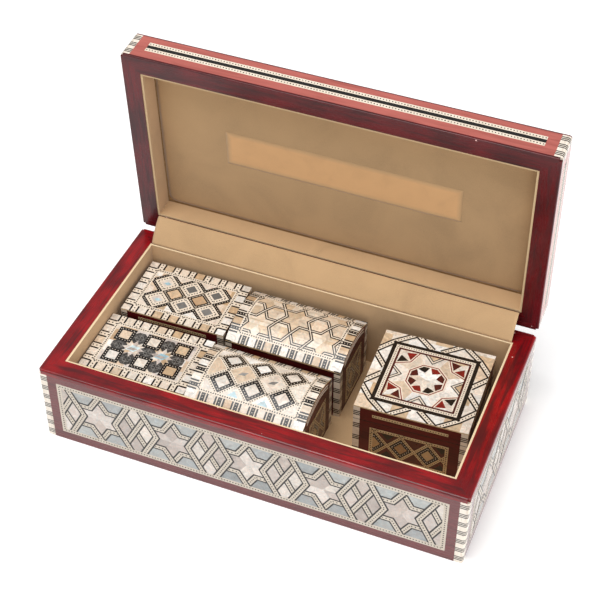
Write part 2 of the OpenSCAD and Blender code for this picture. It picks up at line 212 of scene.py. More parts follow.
def ramp(tree, value, stops):
    """A ramp through (place, shade) stops; a shade is a grey level or a colour."""
    node = add(tree, "ShaderNodeValToRGB", {"Fac": value})
    points = node.color_ramp.elements
    while len(points) < len(stops):
        points.new(0.5)
    for point, (place, shade) in zip(points, stops):
        point.position = place
        point.color = rgba(shade if isinstance(shade, tuple) else (shade,) * 3)
    return node.outputs[0]


def group(name, inputs, outputs):
    """A new shader node group: its tree and its input sockets. Every group takes a position first."""
    tree = bpy.data.node_groups.new(name, "ShaderNodeTree")
    for label, value in inputs.items():
        kind = {3: "Vector", 4: "Color"}[len(value)] if isinstance(value, tuple) else "Float"
        socket = tree.interface.new_socket(label, in_out="INPUT", socket_type="NodeSocket" + kind)
        socket.default_value = value
    for label in outputs:
        kind = "Color" if label == "Color" else "Float"
        tree.interface.new_socket(label, in_out="OUTPUT", socket_type="NodeSocket" + kind)
    return tree, add(tree, "NodeGroupInput").outputs


def place_group(tree, name, wires):
    return add(tree, "ShaderNodeGroup", wires, node_tree=bpy.data.node_groups[name]).outputs


def make_grain_group():
    """Wood grain: long streaks, fine pores and slow changes of shade."""
    inputs = {
        "Position": (0, 0, 0),
        "Stretch": (30, 800, 800),
        "Light": (0.5, 0.3, 0.2, 1),
        "Dark": (0.1, 0.05, 0.03, 1),
        "Streaks": 0.6,
        "Pores": 0.4,
        "Blotches": 0.18,
    }
    tree, pins = group("Wood Grain", inputs, ("Color", "Height"))
    wires = {0: pins["Position"], 1: pins["Stretch"]}
    at = add(tree, "ShaderNodeVectorMath", wires, operation="MULTIPLY").outputs[0]
    streak = noise(tree, at, 0.45, 5, Roughness=0.6, Distortion=0.7)
    streak = ramp(tree, streak, [(0.38, 0), (0.5, 0.35), (0.62, 1)])
    pore = ramp(tree, noise(tree, at, 2.2, 3, Roughness=0.7), [(0.52, 0), (0.68, 1)])
    patch = ramp(tree, noise(tree, pins["Position"], 55, 4), [(0.35, 1), (0.65, 0)])
    patch = calc(tree, "MULTIPLY", patch, pins["Blotches"])
    streak = calc(tree, "MULTIPLY", streak, pins["Streaks"])
    share = calc(tree, "MAXIMUM", streak, calc(tree, "MULTIPLY", pore, pins["Pores"]))
    shade = mix(tree, share, pins["Light"], pins["Dark"])
    shade = mix(tree, patch, shade, pins["Dark"])
    add(tree, "NodeGroupOutput", {"Color": shade, "Height": calc(tree, "SUBTRACT", 1.0, share)})


def make_speck_group():
    """Small pale nicks and dust specks, as a mask."""
    inputs = {"Position": (0, 0, 0), "Scale": 240.0, "Size": 0.12, "Share": 0.12}
    tree, pins = group("Nicks And Dust", inputs, ("Mask",))
    wires = {"Vector": pins["Position"], "Scale": pins["Scale"]}
    cells = add(tree, "ShaderNodeTexVoronoi", wires).outputs
    near = calc(tree, "LESS_THAN", cells["Distance"], pins["Size"])
    grey = add(tree, "ShaderNodeSeparateColor", {"Color": cells["Color"]}).outputs[0]
    some = calc(tree, "LESS_THAN", grey, pins["Share"])
    add(tree, "NodeGroupOutput", {"Mask": calc(tree, "MULTIPLY", near, some)})


def make_nap_group():
    """Nap of suede or satin: fine fibres and brushed patches."""
    inputs = {
        "Position": (0, 0, 0),
        "Tone": (0.5, 0.4, 0.3, 1),
        "Fibre Scale": 2600.0,
        "Patch Scale": 35.0,
        "Contrast": 0.25,
    }
    tree, pins = group("Brushed Nap", inputs, ("Color", "Height"))
    fibre = noise(tree, pins["Position"], pins["Fibre Scale"])
    patch = noise(tree, pins["Position"], pins["Patch Scale"], 4, Distortion=0.8)
    both = calc(tree, "ADD", calc(tree, "MULTIPLY", fibre, 0.5), patch)
    level = ramp(tree, both, [(0.45, 0.62), (0.75, 0.9), (1.0, 1)])
    dull = mix(tree, 1.0, pins["Tone"], level, "MULTIPLY")
    shade = mix(tree, pins["Contrast"], pins["Tone"], dull)
    add(tree, "NodeGroupOutput", {"Color": shade, "Height": fibre})


def make_shell_group():
    """Mother of pearl: cloudy growth lines and a slow shift from pink to blue."""
    inputs = {"Position": (0, 0, 0), "Tone": (0.8, 0.75, 0.7, 1), "Lustre": 0.35}
    tree, pins = group("Nacre Lustre", inputs, ("Color", "Height", "Gloss"))
    cloud = noise(tree, pins["Position"], 210, 5, Roughness=0.62, Distortion=2.2)
    hue = noise(tree, pins["Position"], 330, Distortion=3.0)
    pink, cream, green, blue = (1.0, 0.88, 0.82), (1.0, 0.97, 0.93), (0.93, 1.0, 0.98), (0.88, 0.93, 1.0)
    tint = ramp(tree, hue, [(0.3, pink), (0.46, cream), (0.58, green), (0.72, blue)])
    level = ramp(tree, cloud, [(0.3, 0.6), (0.45, 0.86), (0.56, 1.0), (0.7, 1.16)])
    shade = mix(tree, 1.0, pins["Tone"], level, "MULTIPLY")
    shade = mix(tree, pins["Lustre"], pins["Tone"], shade)
    shade = mix(tree, 0.8, shade, tint, "MULTIPLY")
    gloss = ramp(tree, cloud, [(0.3, 0.34), (0.7, 0.18)])
    add(tree, "NodeGroupOutput", {"Color": shade, "Height": cloud, "Gloss": gloss})


def make_stripe_group():
    """Groups of thin lines across a post, as a mask from a length in millimetres."""
    inputs = {
        "Length": 0.0,
        "Group Pitch": 7.5,
        "Group Width": 3.2,
        "Line Pitch": 1.15,
        "Line Width": 0.55,
    }
    tree, pins = group("Post Stripes", inputs, ("Mask",))

    def within(value, pitch):
        """How far a length is past the last whole number of pitches."""
        turn = calc(tree, "DIVIDE", value, pitch)
        return calc(tree, "MULTIPLY", calc(tree, "FRACT", turn), pitch)

    place = within(pins["Length"], pins["Group Pitch"])
    inside = calc(tree, "LESS_THAN", place, pins["Group Width"])
    thin = calc(tree, "LESS_THAN", within(place, pins["Line Pitch"]), pins["Line Width"])
    add(tree, "NodeGroupOutput", {"Mask": calc(tree, "MULTIPLY", inside, thin)})


def make_groups():
    if "Wood Grain" not in bpy.data.node_groups:
        make_grain_group()
        make_speck_group()
        make_nap_group()
        make_shell_group()
        make_stripe_group()


# ---- finishes ----
class Finish:
    """A new material with its shader and the piece's own position at hand."""

    def __init__(self, name, **fixed):
        self.material = bpy.data.materials.new(name)
        self.material.use_nodes = True
        self.tree = self.material.node_tree
        self.shader = self.tree.nodes["Principled BSDF"]
        for key, value in fixed.items():
            self.shader.inputs[key.replace("_", " ")].default_value = value
        self.position = add(self.tree, "ShaderNodeTexCoord").outputs["Object"]

    def group(self, name, **wires):
        """A node group on the piece's position; in the names of its inputs _ stands for a space."""
        wires = {key.replace("_", " "): value for key, value in wires.items()}
        return place_group(self.tree, name, {"Position": self.position, **wires})

    def colour(self, socket):
        self.tree.links.new(socket, self.shader.inputs["Base Color"])

    def roughness(self, socket):
        self.tree.links.new(socket, self.shader.inputs["Roughness"])

    def bump(self, height, depth, strength):
        wires = {"Height": height, "Distance": depth, "Strength": strength}
        node = add(self.tree, "ShaderNodeBump", wires)
        self.tree.links.new(node.outputs[0], self.shader.inputs["Normal"])

    def along(self, direction):
        """How far the surface point lies along a direction, in millimetres."""
        wires = {0: self.position, 1: Vector(direction) * 1000}
        return add(self.tree, "ShaderNodeVectorMath", wires, operation="DOT_PRODUCT").outputs["Value"]


def stretch_along(direction, along=70, across=900):
    return tuple(along if abs(c) > 0.5 else across for c in direction)


def wood_finish(name, light, dark, direction, streaks, gloss, coat, nicks=0.0, blotches=0.18):
    """Lacquered or stained wood with its grain along a direction."""
    if name in bpy.data.materials:
        return bpy.data.materials[name]
    made = Finish(name, Coat_Weight=coat, Coat_Roughness=0.12, Specular_IOR_Level=0.35)
    grain = made.group(
        "Wood Grain",
        Stretch=stretch_along(direction),
        Light=rgba(light),
        Dark=rgba(dark),
        Streaks=streaks,
        Blotches=blotches,
    )
    shade = grain["Color"]
    if nicks:
        mask = made.group("Nicks And Dust", Share=nicks)["Mask"]
        shade = mix(made.tree, mask, shade, (0.75, 0.45, 0.42, 1))
    made.colour(shade)
    made.roughness(ramp(made.tree, grain["Height"], [(0, gloss + 0.12), (1, gloss - 0.05)]))
    made.bump(grain["Height"], 0.00005, 0.35)
    return made.material


def shell_finish():
    """Shell pieces, each with its own tint."""
    if "Nacre" in bpy.data.materials:
        return bpy.data.materials["Nacre"]
    made = Finish("Nacre", Coat_Weight=0.35, Coat_Roughness=0.08)
    tint = add(made.tree, "ShaderNodeAttribute", attribute_name="tint")
    shell = made.group("Nacre Lustre", Tone=tint.outputs["Color"], Lustre=1.0)
    made.colour(shell["Color"])
    made.roughness(shell["Gloss"])
    made.bump(shell["Height"], 0.00006, 0.4)
    return made.material


def nap_finish(name, base, patch=35, contrast=0.5, edge=None):
    """Suede. edge is (direction, length in mm, colour) of a cut edge."""
    if name in bpy.data.materials:
        return bpy.data.materials[name]
    made = Finish(
        name, Roughness=0.95, Sheen_Weight=0.25, Sheen_Roughness=0.5, Specular_IOR_Level=0.2
    )
    nap = made.group("Brushed Nap", Tone=rgba(base), Patch_Scale=patch, Contrast=contrast)
    shade = nap["Color"]
    if edge:
        direction, reach, cut_colour_and_shade = edge
        beyond = calc(made.tree, "GREATER_THAN", made.along(direction), reach)
        shade = mix(made.tree, beyond, shade, rgba(cut_colour_and_shade))
    made.colour(shade)
    made.bump(nap["Height"], 0.00025, 0.35)
    return made.material


def satin_finish(middle, half, fade=3.5):
    """Satin patch whose colour fades into the suede over its last few millimetres."""
    made = Finish("Satin", Roughness=0.6, Sheen_Weight=0.25, Specular_IOR_Level=0.25)
    tree = made.tree
    nap = made.group("Brushed Nap", Tone=rgba(colours().label), Patch_Scale=60, Contrast=0.35)
    shares = []
    for direction, reach in ((ALONG_X, half.x / MM), (LID_BACK, half.y / MM)):
        place = Vector(direction).dot(middle) / MM
        off = calc(tree, "ABSOLUTE", calc(tree, "SUBTRACT", made.along(direction), place))
        shares.append(calc(tree, "DIVIDE", calc(tree, "SUBTRACT", reach, off), fade))
    share = ramp(tree, calc(tree, "MINIMUM", *shares), [(0.0, 0), (1.0, 1)])
    made.colour(mix(tree, share, rgba(colours().pad), nap["Color"]))
    made.bump(nap["Height"], 0.0002, 0.3)
    return made.material


def post_finish(name, direction, start, **lines):
    """Cream post with groups of thin dark lines across its length."""
    made = Finish(name, Coat_Weight=0.4, Coat_Roughness=0.12)
    grain = made.group(
        "Wood Grain",
        Stretch=stretch_along(direction),
        Light=rgba(colours().post),
        Dark=rgba(tone("A98C6C")),
        Streaks=0.4,
    )
    place = calc(made.tree, "SUBTRACT", made.along(direction), start)
    lines = {key.replace("_", " "): value for key, value in lines.items()}
    mask = place_group(made.tree, "Post Stripes", {"Length": place, **lines})["Mask"]
    made.colour(mix(made.tree, mask, grain["Color"], rgba(colours().ebony)))
    made.roughness(ramp(made.tree, grain["Height"], [(0, 0.4), (1, 0.28)]))
    made.bump(grain["Height"], 0.00005, 0.4)
    return made.material


def dress(material, *nodes):
    """Gives CAD nodes a finish."""
    for name in nodes:
        slots = frame["nodes"][name].data.materials
        slots.clear()
        slots.append(material)


# ---- inlay ----
WOODS = {
    "Bone": ("EFE3D2", "B79E80", 0.3),
    # Shade Greyed Bone is a greyer, darker copy of Bone: painted shade for the straps of the star bands
    "Aged Bone": ("D0C5B6", "A89A86", 0.3),
    "Ebony": ("171210", "060404", 0.3),
    "Rosewood": ("561713", "240806", 0.6),
    "Red Wood": ("8E1E17", "3A0907", 0.5),
    "Tan Wood": ("D2B78C", "A08055", 0.35),
    "Grey Wood": ("8E8B86", "55524E", 0.5),
    "Smoked Wood": ("5A5754", "1E1C1A", 0.8),
}
# Shades of shell, by where they are used
SHELL = {
    "cream": ["E9D8C6", "EFE4D8", "DFC8B0", "D6BB9C", "EBDDCF", "F4EDE6", "CDAE8C"],
    "white": ["F0E9E2", "E8DDD2", "E2D5C9", "F6F3F0"],
    "peach": ["DCBE9E", "D4B08C", "E2C8AC"],
    "net": ["E4D0BA", "DDC6AC", "EADBC9", "D8BFA2"],
    "grey": ["7E7D7C", "9A9998", "6A6A6A"],
    "blue": ["B4D2DC", "CFE2E7", "A2C6D4"],
    "star": ["CFC2BB", "DCD1CA", "C6B7AE", "E0D5CC", "BDAFA8"],
    "ground": ["A5A7A8", "999C9D", "AFB1B0"],
    "tan": ["B89468", "C8A77C", "A98259"],
}


def wood(name):
    """Thin strips of bone or wood set into the surface."""
    light, dark, streaks = WOODS[name]
    return wood_finish(name, tone(light), tone(dark), (0, 0, 0), streaks, 0.32, 0.3)


def cut(corners, nx, ny, limit):
    """The part of a polygon where nx*u + ny*v is at most limit."""
    kept = []
    for i, b in enumerate(corners):
        a = corners[i - 1]
        da, db = nx * a[0] + ny * a[1] - limit, nx * b[0] + ny * b[1] - limit
        if (da > 0) != (db > 0):
            t = da / (da - db)
            kept.append((a[0] + (b[0] - a[0]) * t, a[1] + (b[1] - a[1]) * t))
        if db <= 0:
            kept.append(b)
    return kept


def area(corners):
    pairs = zip([corners[-1], *corners], corners)
    return 0.5 * sum(a[0] * b[1] - b[0] * a[1] for a, b in pairs)


def tidy(corners):
    """Drops repeated corners and turns the polygon anticlockwise; None if nothing is left."""
    kept = []
    for c in corners:
        if not kept or math.dist(c, kept[-1]) > 1e-3:
            kept.append(c)
    if len(kept) > 1 and math.dist(kept[0], kept[-1]) <= 1e-3:
        kept.pop()
    if len(kept) < 3 or abs(area(kept)) < 0.01:
        return None
    return kept if area(kept) > 0 else kept[::-1]


def normal(a, b):
    """Unit vector to the left of the way from a to b."""
    dx, dy = b[0] - a[0], b[1] - a[1]
    size = math.hypot(dx, dy) or 1
    return (-dy / size, dx / size)


def mitres(line, closed):
    """How far each point of a line moves for one unit of width to its left."""
    n, moves = len(line), []
    for i, p in enumerate(line):
        before = normal(line[i - 1], p) if closed or i else None
        after = normal(p, line[(i + 1) % n]) if closed or i < n - 1 else None
        if before is None or after is None:
            moves.append(before or after)
            continue
        bend = max(1 + before[0] * after[0] + before[1] * after[1], 0.25)
        moves.append(((before[0] + after[0]) / bend, (before[1] + after[1]) / bend))
    return moves


class Panel:
    """A flat or domed face that takes inlay. Its u, v and height are millimetres from its middle."""

    def __init__(self, middle, across, up, half_u, half_v, radius=None, turn=None):
        self.middle, self.across, self.up = Vector(middle), Vector(across), Vector(up)
        self.out = self.across.cross(self.up)
        self.half_u, self.half_v, self.radius = half_u, half_v, radius
        self.turn = turn or Matrix.Identity(4)
        self.whole = (-half_u, -half_v, half_u, half_v)
        self.window = self.whole

    def place(self, u, v, height):
        if self.radius:
            angle, reach = v / self.radius, self.radius + height
            v, height = reach * math.sin(angle), reach * math.cos(angle) - self.radius
        at = self.middle + (u * self.across + v * self.up + height * self.out) * MM
        return self.turn @ at

    def facing(self, v):
        way = self.out
        if self.radius:
            angle = v / self.radius
            way = self.out * math.cos(angle) + self.up * math.sin(angle)
        return self.turn.to_3x3() @ way

    def slices(self, corners):
        """Cuts a polygon to the window, and on a dome into narrow strips that follow it."""
        u0, v0, u1, v1 = self.window
        for nx, ny, limit in ((-1, 0, -u0), (1, 0, u1), (0, -1, -v0), (0, 1, v1)):
            corners = cut(corners, nx, ny, limit)
        if not self.radius:
            return [corners]
        if not corners:
            return []
        low = math.floor(min(c[1] for c in corners) / DOME_STEP)
        high = math.ceil(max(c[1] for c in corners) / DOME_STEP)
        levels = [k * DOME_STEP for k in range(low, high + 1)]
        return [cut(cut(corners, 0, -1, -a), 0, 1, b) for a, b in zip(levels, levels[1:])]


class Inlay:
    """Collects the tiles and dotted lines of one piece, and makes its mesh."""

    def __init__(self, name, seed=0, pale="Bone"):
        self.name, self.pale = name, pale
        self.points, self.faces, self.finish, self.tints = [], [], [], []
        self.names, self.lines = [], {}
        self.random = random.Random(sizes().seed * 1000 + seed)

    def shade(self, kind):
        base = tone(self.random.choice(SHELL[kind]))
        level = self.random.uniform(0.9, 1.06)
        return tuple(min(1.0, c * level) for c in base)

    def finish_index(self, name):
        if name not in self.names:
            self.names.append(name)
        return self.names.index(name)

    def tile(self, panel, corners, finish, top, kind=None):
        """A thin closed tile. kind picks the shade of a shell tile."""
        tint = self.shade(kind) if kind else (1, 1, 1)
        index = self.finish_index(finish)
        for part in panel.slices(corners):
            part = tidy(part)
            if part is None:
                continue
            n, first = len(part), len(self.points)
            self.points += [panel.place(u, v, -SUNK) for u, v in part]
            self.points += [panel.place(u, v, top) for u, v in part]
            self.faces.append([first + n + i for i in range(n)])
            self.faces.append([first + i for i in reversed(range(n))])
            for i in range(n):
                j = (i + 1) % n
                self.faces.append([first + i, first + j, first + n + j, first + n + i])
            self.finish += [index] * (n + 2)
            self.tints += [tint] * (2 * n)

    def shell(self, panel, corners, kind="cream", top=0.06):
        self.tile(panel, corners, "Nacre", top, kind)

    def band(self, panel, line, width, finish, top, closed=False):
        """A mitred strip along a line."""
        moves = mitres(line, closed)
        half, count = width / 2, len(line)
        for i in range(count if closed else count - 1):
            j = (i + 1) % count
            a, b, p, q = line[i], line[j], moves[i], moves[j]
            edges = ((a, p, -half), (b, q, -half), (b, q, half), (a, p, half))
            corners = [(at[0] + way[0] * by, at[1] + way[1] * by) for at, way, by in edges]
            self.tile(panel, corners, finish, top)

    def dots(self, panel, line, top, finish="Ebony", closed=False, pitch=None, size=None):
        """Marks a line for a row of dots; every straight stretch gets its own row."""
        pitch = pitch or sizes().dot_pitch / MM
        size = size or sizes().dot_size / MM
        rows = self.lines.setdefault((finish, pitch, size), [])
        u0, v0, u1, v1 = panel.window
        for i in range(len(line) if closed else len(line) - 1):
            a, b = line[i], line[(i + 1) % len(line)]
            start, end = 0.0, 1.0
            for axis, low, high in ((0, u0, u1), (1, v0, v1)):
                run = b[axis] - a[axis]
                if abs(run) < 1e-9:
                    if not low <= a[axis] <= high:
                        end = -1
                    continue
                ends = sorted(((low - a[axis]) / run, (high - a[axis]) / run))
                start, end = max(start, ends[0]), min(end, ends[1])
            length = math.dist(a, b)
            trim = pitch * 0.5 / (length or 1)
            start, end = start + trim, end - trim
            if end <= start:
                continue
            steps = max(1, round((end - start) * length / 1.5)) if panel.radius else 1
            row = []
            for k in range(steps + 1):
                t = start + (end - start) * k / steps
                u, v = a[0] + (b[0] - a[0]) * t, a[1] + (b[1] - a[1]) * t
                row.append((panel.place(u, v, top), panel.facing(v)))
            rows.append(row)

    def strap(self, panel, line, top, closed=False, width=None, edge=None):
        """A pale dotted strap between two dark lines."""
        width = width or sizes().strap_width / MM
        edge = edge or sizes().strap_line / MM
        self.band(panel, line, width, "Ebony", top, closed)
        self.band(panel, line, width - 2 * edge, self.pale, top + 0.02, closed)
        self.dots(panel, line, top + 0.02, closed=closed)

    def dark_strap(self, panel, line, top, closed=False, width=2.3):
        """A black strap with pale dots."""
        self.band(panel, line, width, "Ebony", top, closed)
        self.dots(panel, line, top, "Bone", closed, pitch=1.45, size=0.45)

    def pale_strap(self, panel, line, top, closed=False, width=1.6, size=0.6):
        """A pale strap with dark dots and no lines."""
        self.band(panel, line, width, "Bone", top, closed)
        self.dots(panel, line, top, "Ebony", closed, pitch=1.4, size=size)

    def finished(self, body):
        """Makes the mesh, with its rows of dots, and lets it ride on a body."""
        mesh = bpy.data.meshes.new(self.name)
        mesh.from_pydata(self.points, [], self.faces)
        mesh.polygons.foreach_set("material_index", self.finish)
        tint = mesh.attributes.new("tint", "FLOAT_COLOR", "POINT")
        tint.data.foreach_set("color", [c for t in self.tints for c in (*t, 1)])
        joined = bmesh.new()
        joined.from_mesh(mesh)
        for (finish, pitch, size), rows in self.lines.items():
            index = self.finish_index(finish)
            dots = dotted_rows(self.name, rows, pitch, size, wood(finish))
            dots.polygons.foreach_set("material_index", [index] * len(dots.polygons))
            joined.from_mesh(dots)
            bpy.data.meshes.remove(dots)
        joined.to_mesh(mesh)
        joined.free()
        for name in self.names:
            mesh.materials.append(shell_finish() if name == "Nacre" else wood(name))
        piece = bpy.data.objects.new(self.name, mesh)
        bpy.context.scene.collection.objects.link(piece)
        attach(piece, body)
        return piece


def dot_tree():
    """Geometry nodes that set small square dots along lines, flat on the surface."""
    name = "Dots Along Lines"
    if name in bpy.data.node_groups:
        return bpy.data.node_groups[name]
    tree = bpy.data.node_groups.new(name, "GeometryNodeTree")
    face = tree.interface
    face.new_socket("Lines", in_out="INPUT", socket_type="NodeSocketGeometry")
    for label in ("Pitch", "Dot Size", "Dot Height"):
        face.new_socket(label, in_out="INPUT", socket_type="NodeSocketFloat").subtype = "DISTANCE"
    face.new_socket("Finish", in_out="INPUT", socket_type="NodeSocketMaterial")
    face.new_socket("Dots", in_out="OUTPUT", socket_type="NodeSocketGeometry")
    pins = add(tree, "NodeGroupInput").outputs
    curve = add(tree, "GeometryNodeMeshToCurve", {"Mesh": pins["Lines"]}).outputs[0]
    wires = {"Curve": curve, "Length": pins["Pitch"]}
    even = add(tree, "GeometryNodeResampleCurve", wires, mode="LENGTH").outputs[0]
    spots = add(tree, "GeometryNodeCurveToPoints", {"Curve": even}, mode="EVALUATED").outputs
    wires = {"Name": "facing"}
    facing = add(tree, "GeometryNodeInputNamedAttribute", wires, data_type="FLOAT_VECTOR").outputs
    turn = "FunctionNodeAlignRotationToVector"
    upright = add(tree, turn, {"Vector": facing["Attribute"]}, axis="Z").outputs[0]
    wires = {"Rotation": upright, "Vector": spots["Tangent"]}
    turned = add(tree, turn, wires, axis="X", pivot_axis="Z").outputs[0]
    wires = {"X": pins["Dot Size"], "Y": pins["Dot Size"], "Z": pins["Dot Height"]}
    shape = add(tree, "ShaderNodeCombineXYZ", wires).outputs[0]
    dot = add(tree, "GeometryNodeMeshCube", {"Size": shape}).outputs["Mesh"]
    wires = {"Points": spots["Points"], "Instance": dot, "Rotation": turned}
    laid = add(tree, "GeometryNodeInstanceOnPoints", wires).outputs[0]
    real = add(tree, "GeometryNodeRealizeInstances", {"Geometry": laid}).outputs[0]
    wires = {"Geometry": real, "Material": pins["Finish"]}
    done = add(tree, "GeometryNodeSetMaterial", wires).outputs[0]
    add(tree, "NodeGroupOutput", {"Dots": done})
    return tree


def dotted_rows(name, rows, pitch, size, material):
    """The plain mesh of the dots along rows of (point, facing)."""
    points, edges, facing = [], [], []
    for row in rows:
        first = len(points)
        points += [p for p, _ in row]
        facing += [c for _, way in row for c in way]
        edges += [(first + i, first + i + 1) for i in range(len(row) - 1)]
    mesh = bpy.data.meshes.new(name + "_rows")
    mesh.from_pydata(points, edges, [])
    mesh.attributes.new("facing", "FLOAT_VECTOR", "POINT").data.foreach_set("vector", facing)
    lines = bpy.data.objects.new(name + "_rows", mesh)
    bpy.context.scene.collection.objects.link(lines)
    maker = lines.modifiers.new("Dots", "NODES")
    maker.node_group = dot_tree()
    wanted = {"Pitch": pitch * MM, "Dot Size": size * MM, "Dot Height": DOT_HEIGHT * MM, "Finish": material}
    for item in maker.node_group.interface.items_tree:
        if item.in_out == "INPUT" and item.name in wanted:
            maker[item.identifier] = wanted[item.name]
    graph = bpy.context.evaluated_depsgraph_get()
    made = bpy.data.meshes.new_from_object(lines.evaluated_get(graph))
    made.materials.clear()
    bpy.data.objects.remove(lines)
    bpy.data.meshes.remove(mesh)
    return made


# ---- patterns ----
def ring(half_u, half_v, inset=0.0, middle=(0, 0)):
    """Corners of a rectangle, moved in from its edge."""
    u, v, (x, y) = half_u - inset, half_v - inset, middle
    return [(x - u, y - v), (x + u, y - v), (x + u, y + v), (x - u, y + v)]


def moved(corners, x, y):
    """The same outline, somewhere else."""
    return [(x + a, y + b) for a, b in corners]


def polar(reach, degrees, middle=(0, 0)):
    """The point at a distance and direction from a middle."""
    a = math.radians(degrees)
    return (middle[0] + reach * math.cos(a), middle[1] + reach * math.sin(a))


def kite(middle, notch, tip, at, spread):
    """One point of a star, between two notches."""
    sides = [polar(notch, at - spread, middle), polar(tip, at, middle), polar(notch, at + spread, middle)]
    return [middle, *sides]


def diamond(cx, cy, p, q):
    return [(cx - p, cy), (cx, cy - q), (cx + p, cy), (cx, cy + q)]


def shrink(p, q, by):
    """Half diagonals of a diamond whose sides move in by a distance."""
    move = by * math.hypot(p, q)
    return p - move / q, q - move / p


def star_band(work, panel, half_u, half_v, stars):
    """A band of six-pointed stars between chevron straps, with crossed straps between them."""
    # the star's corners are drawn on a repeat of this length and half height
    repeat, rise, strip, past = 44.8, 17.7, 2.9, 3
    panel.window = (-half_u, -half_v, half_u, half_v)
    line = ring(half_u, half_v, strip / 2)
    work.band(panel, line, strip, work.pale, 0.08, True)
    work.dots(panel, line, 0.08, closed=True)
    in_u, in_v = half_u - strip, half_v - strip
    panel.window = (-in_u, -in_v, in_u, in_v)
    pitch = 2 * in_u / stars
    wide, high = pitch / repeat, in_v / rise

    def at(x, z, middle):
        return (middle + x * wide, z * high)

    notch, top, bend = (9.6, 0), (18.1, rise), (5.3, 8)
    meet, point = (13.44, 8), (0, rise)
    for k in range(stars):
        c = (k + 0.5) * pitch - in_u
        for sx in (-1, 1):
            for sz in (-1, 1):
                four = [(0, 0), notch, meet, bend]
                work.shell(panel, [at(sx * x, sz * z, c) for x, z in four], "star")
                four = [point, bend, meet, top]
                work.shell(panel, [at(sx * x, sz * z, c) for x, z in four], "ground")
        for sz in (-1, 1):
            three = [(0, 0), (bend[0], sz * bend[1]), (0, sz * rise), (-bend[0], sz * bend[1])]
            work.shell(panel, [at(x, z, c) for x, z in three], "star")
    slope = (top[0] - notch[0]) / top[1]
    for k in range(stars + 1):
        c = k * pitch - in_u
        side, cross_x, cross_z, cap_x = 12.8, 6.4, 12.8 / 2 / slope, 4.3
        for s in (-1, 1):
            rhomb = [(0, 0), (s * cross_x, cross_z), (s * side, 0), (s * cross_x, -cross_z)]
            work.shell(panel, [at(x, z, c) for x, z in rhomb], "star")
            left = [(-cross_x, s * cross_z), (-cap_x, s * rise)]
            cap = [(0, 0), *left, (cap_x, s * rise), (cross_x, s * cross_z)]
            work.shell(panel, [at(x, z, c) for x, z in cap], "star")
        arm = [(-cross_x, cross_z), (cross_x, -cross_z)]
        work.strap(panel, [at(x, z, c) for x, z in arm], 0.1)
        arm = [(-cross_x, -cross_z), (cross_x, cross_z)]
        work.strap(panel, [at(x, z, c) for x, z in arm], 0.15)
    for k in range(stars):
        c = (k + 0.5) * pitch - in_u
        lean = bend[0] / (rise - bend[1])
        tip = (bend[0] - (rise + past - bend[1]) * lean, rise + past)
        for sx, level in ((1, 0.1), (-1, 0.15)):
            for sz in (-1, 1):
                run = [meet, bend, point] if sx > 0 else [meet, bend, tip]
                work.strap(panel, [at(sx * x, sz * z, c) for x, z in run], level)
        for sx in (-1, 1):
            far = (top[0] + past * slope, top[1] + past)
            run = [far, notch, (far[0], -far[1])]
            work.strap(panel, [at(sx * x, z, c) for x, z in run], 0.2)
    panel.window = panel.whole


def triple_strip(work, panel, half_u, half_v, middle=0.0):
    """A dark line between two pale dotted strips."""
    third = 2 * half_v / 3
    for k in (-1, 1):
        v = middle + k * third
        work.band(panel, [(-half_u, v), (half_u, v)], third, "Bone", 0.08)
        work.dots(panel, [(-half_u, v), (half_u, v)], 0.08)
    work.band(panel, [(-half_u, middle), (half_u, middle)], third, "Ebony", 0.1)


def border_row(work, panel, inset, pitch, thick=False):
    """Shell pieces round the edge, parted by dark bars with a dotted middle."""
    hu, hv = panel.half_u, panel.half_v
    panel.window = panel.whole
    for along_u in (True, False):
        run, reach = (hu - inset, hv) if along_u else (hv - inset, hu)
        bars = 2 * math.floor(run / pitch + 0.5)
        places = [(k - (bars - 1) / 2) * pitch for k in range(bars)]
        ends = [-run, *places, run]
        for side in (-1, 1):
            near, far = side * (reach - inset), side * reach

            def turned(corners):
                return corners if along_u else [(y, x) for x, y in corners]

            for a, b in zip(ends, ends[1:]):
                if b - a > 0.3:
                    work.shell(panel, turned([(a, near), (b, near), (b, far), (a, far)]))
            for a in places:
                bar = turned([(a, near), (a, far)])
                if thick:
                    work.band(panel, bar, 5.8, "Ebony", 0.09)
                    work.band(panel, bar, 3.7, "Bone", 0.11)
                    work.dark_strap(panel, bar, 0.13, width=2.4)
                else:
                    work.band(panel, bar, 5.0, "Ebony", 0.09)
                    work.band(panel, bar, 2.9, "Bone", 0.11)
                    work.dots(panel, bar, 0.11, size=0.8)
    for su in (-1, 1):
        for sv in (-1, 1):
            corner = [(hu - inset, hv - inset), (hu, hv - inset), (hu, hv), (hu - inset, hv)]
            work.shell(panel, [(su * x, sv * y) for x, y in corner], "white")
    work.pale_strap(panel, ring(hu, hv, inset), 0.14, True, width=2.2, size=0.75)
    panel.window = (-hu + inset, -hv + inset, hu - inset, hv - inset)


def field(work, panel, kinds=("cream",), step=9.0):
    """Fills the window with rows of square pieces of shell, every other row moved by half a piece."""
    u0, v0, u1, v1 = panel.window
    rows, columns = math.ceil((v1 - v0) / step), math.ceil((u1 - u0) / step) + 2
    for i in range(rows):
        for j in range(columns):
            lean = step * 0.5 if i % 2 else 0
            u, v = u0 + (j - 1) * step - lean, v0 + i * step
            corners = [(u, v), (u + step, v), (u + step, v + step), (u, v + step)]
            work.shell(panel, corners, work.random.choice(kinds), 0.05)


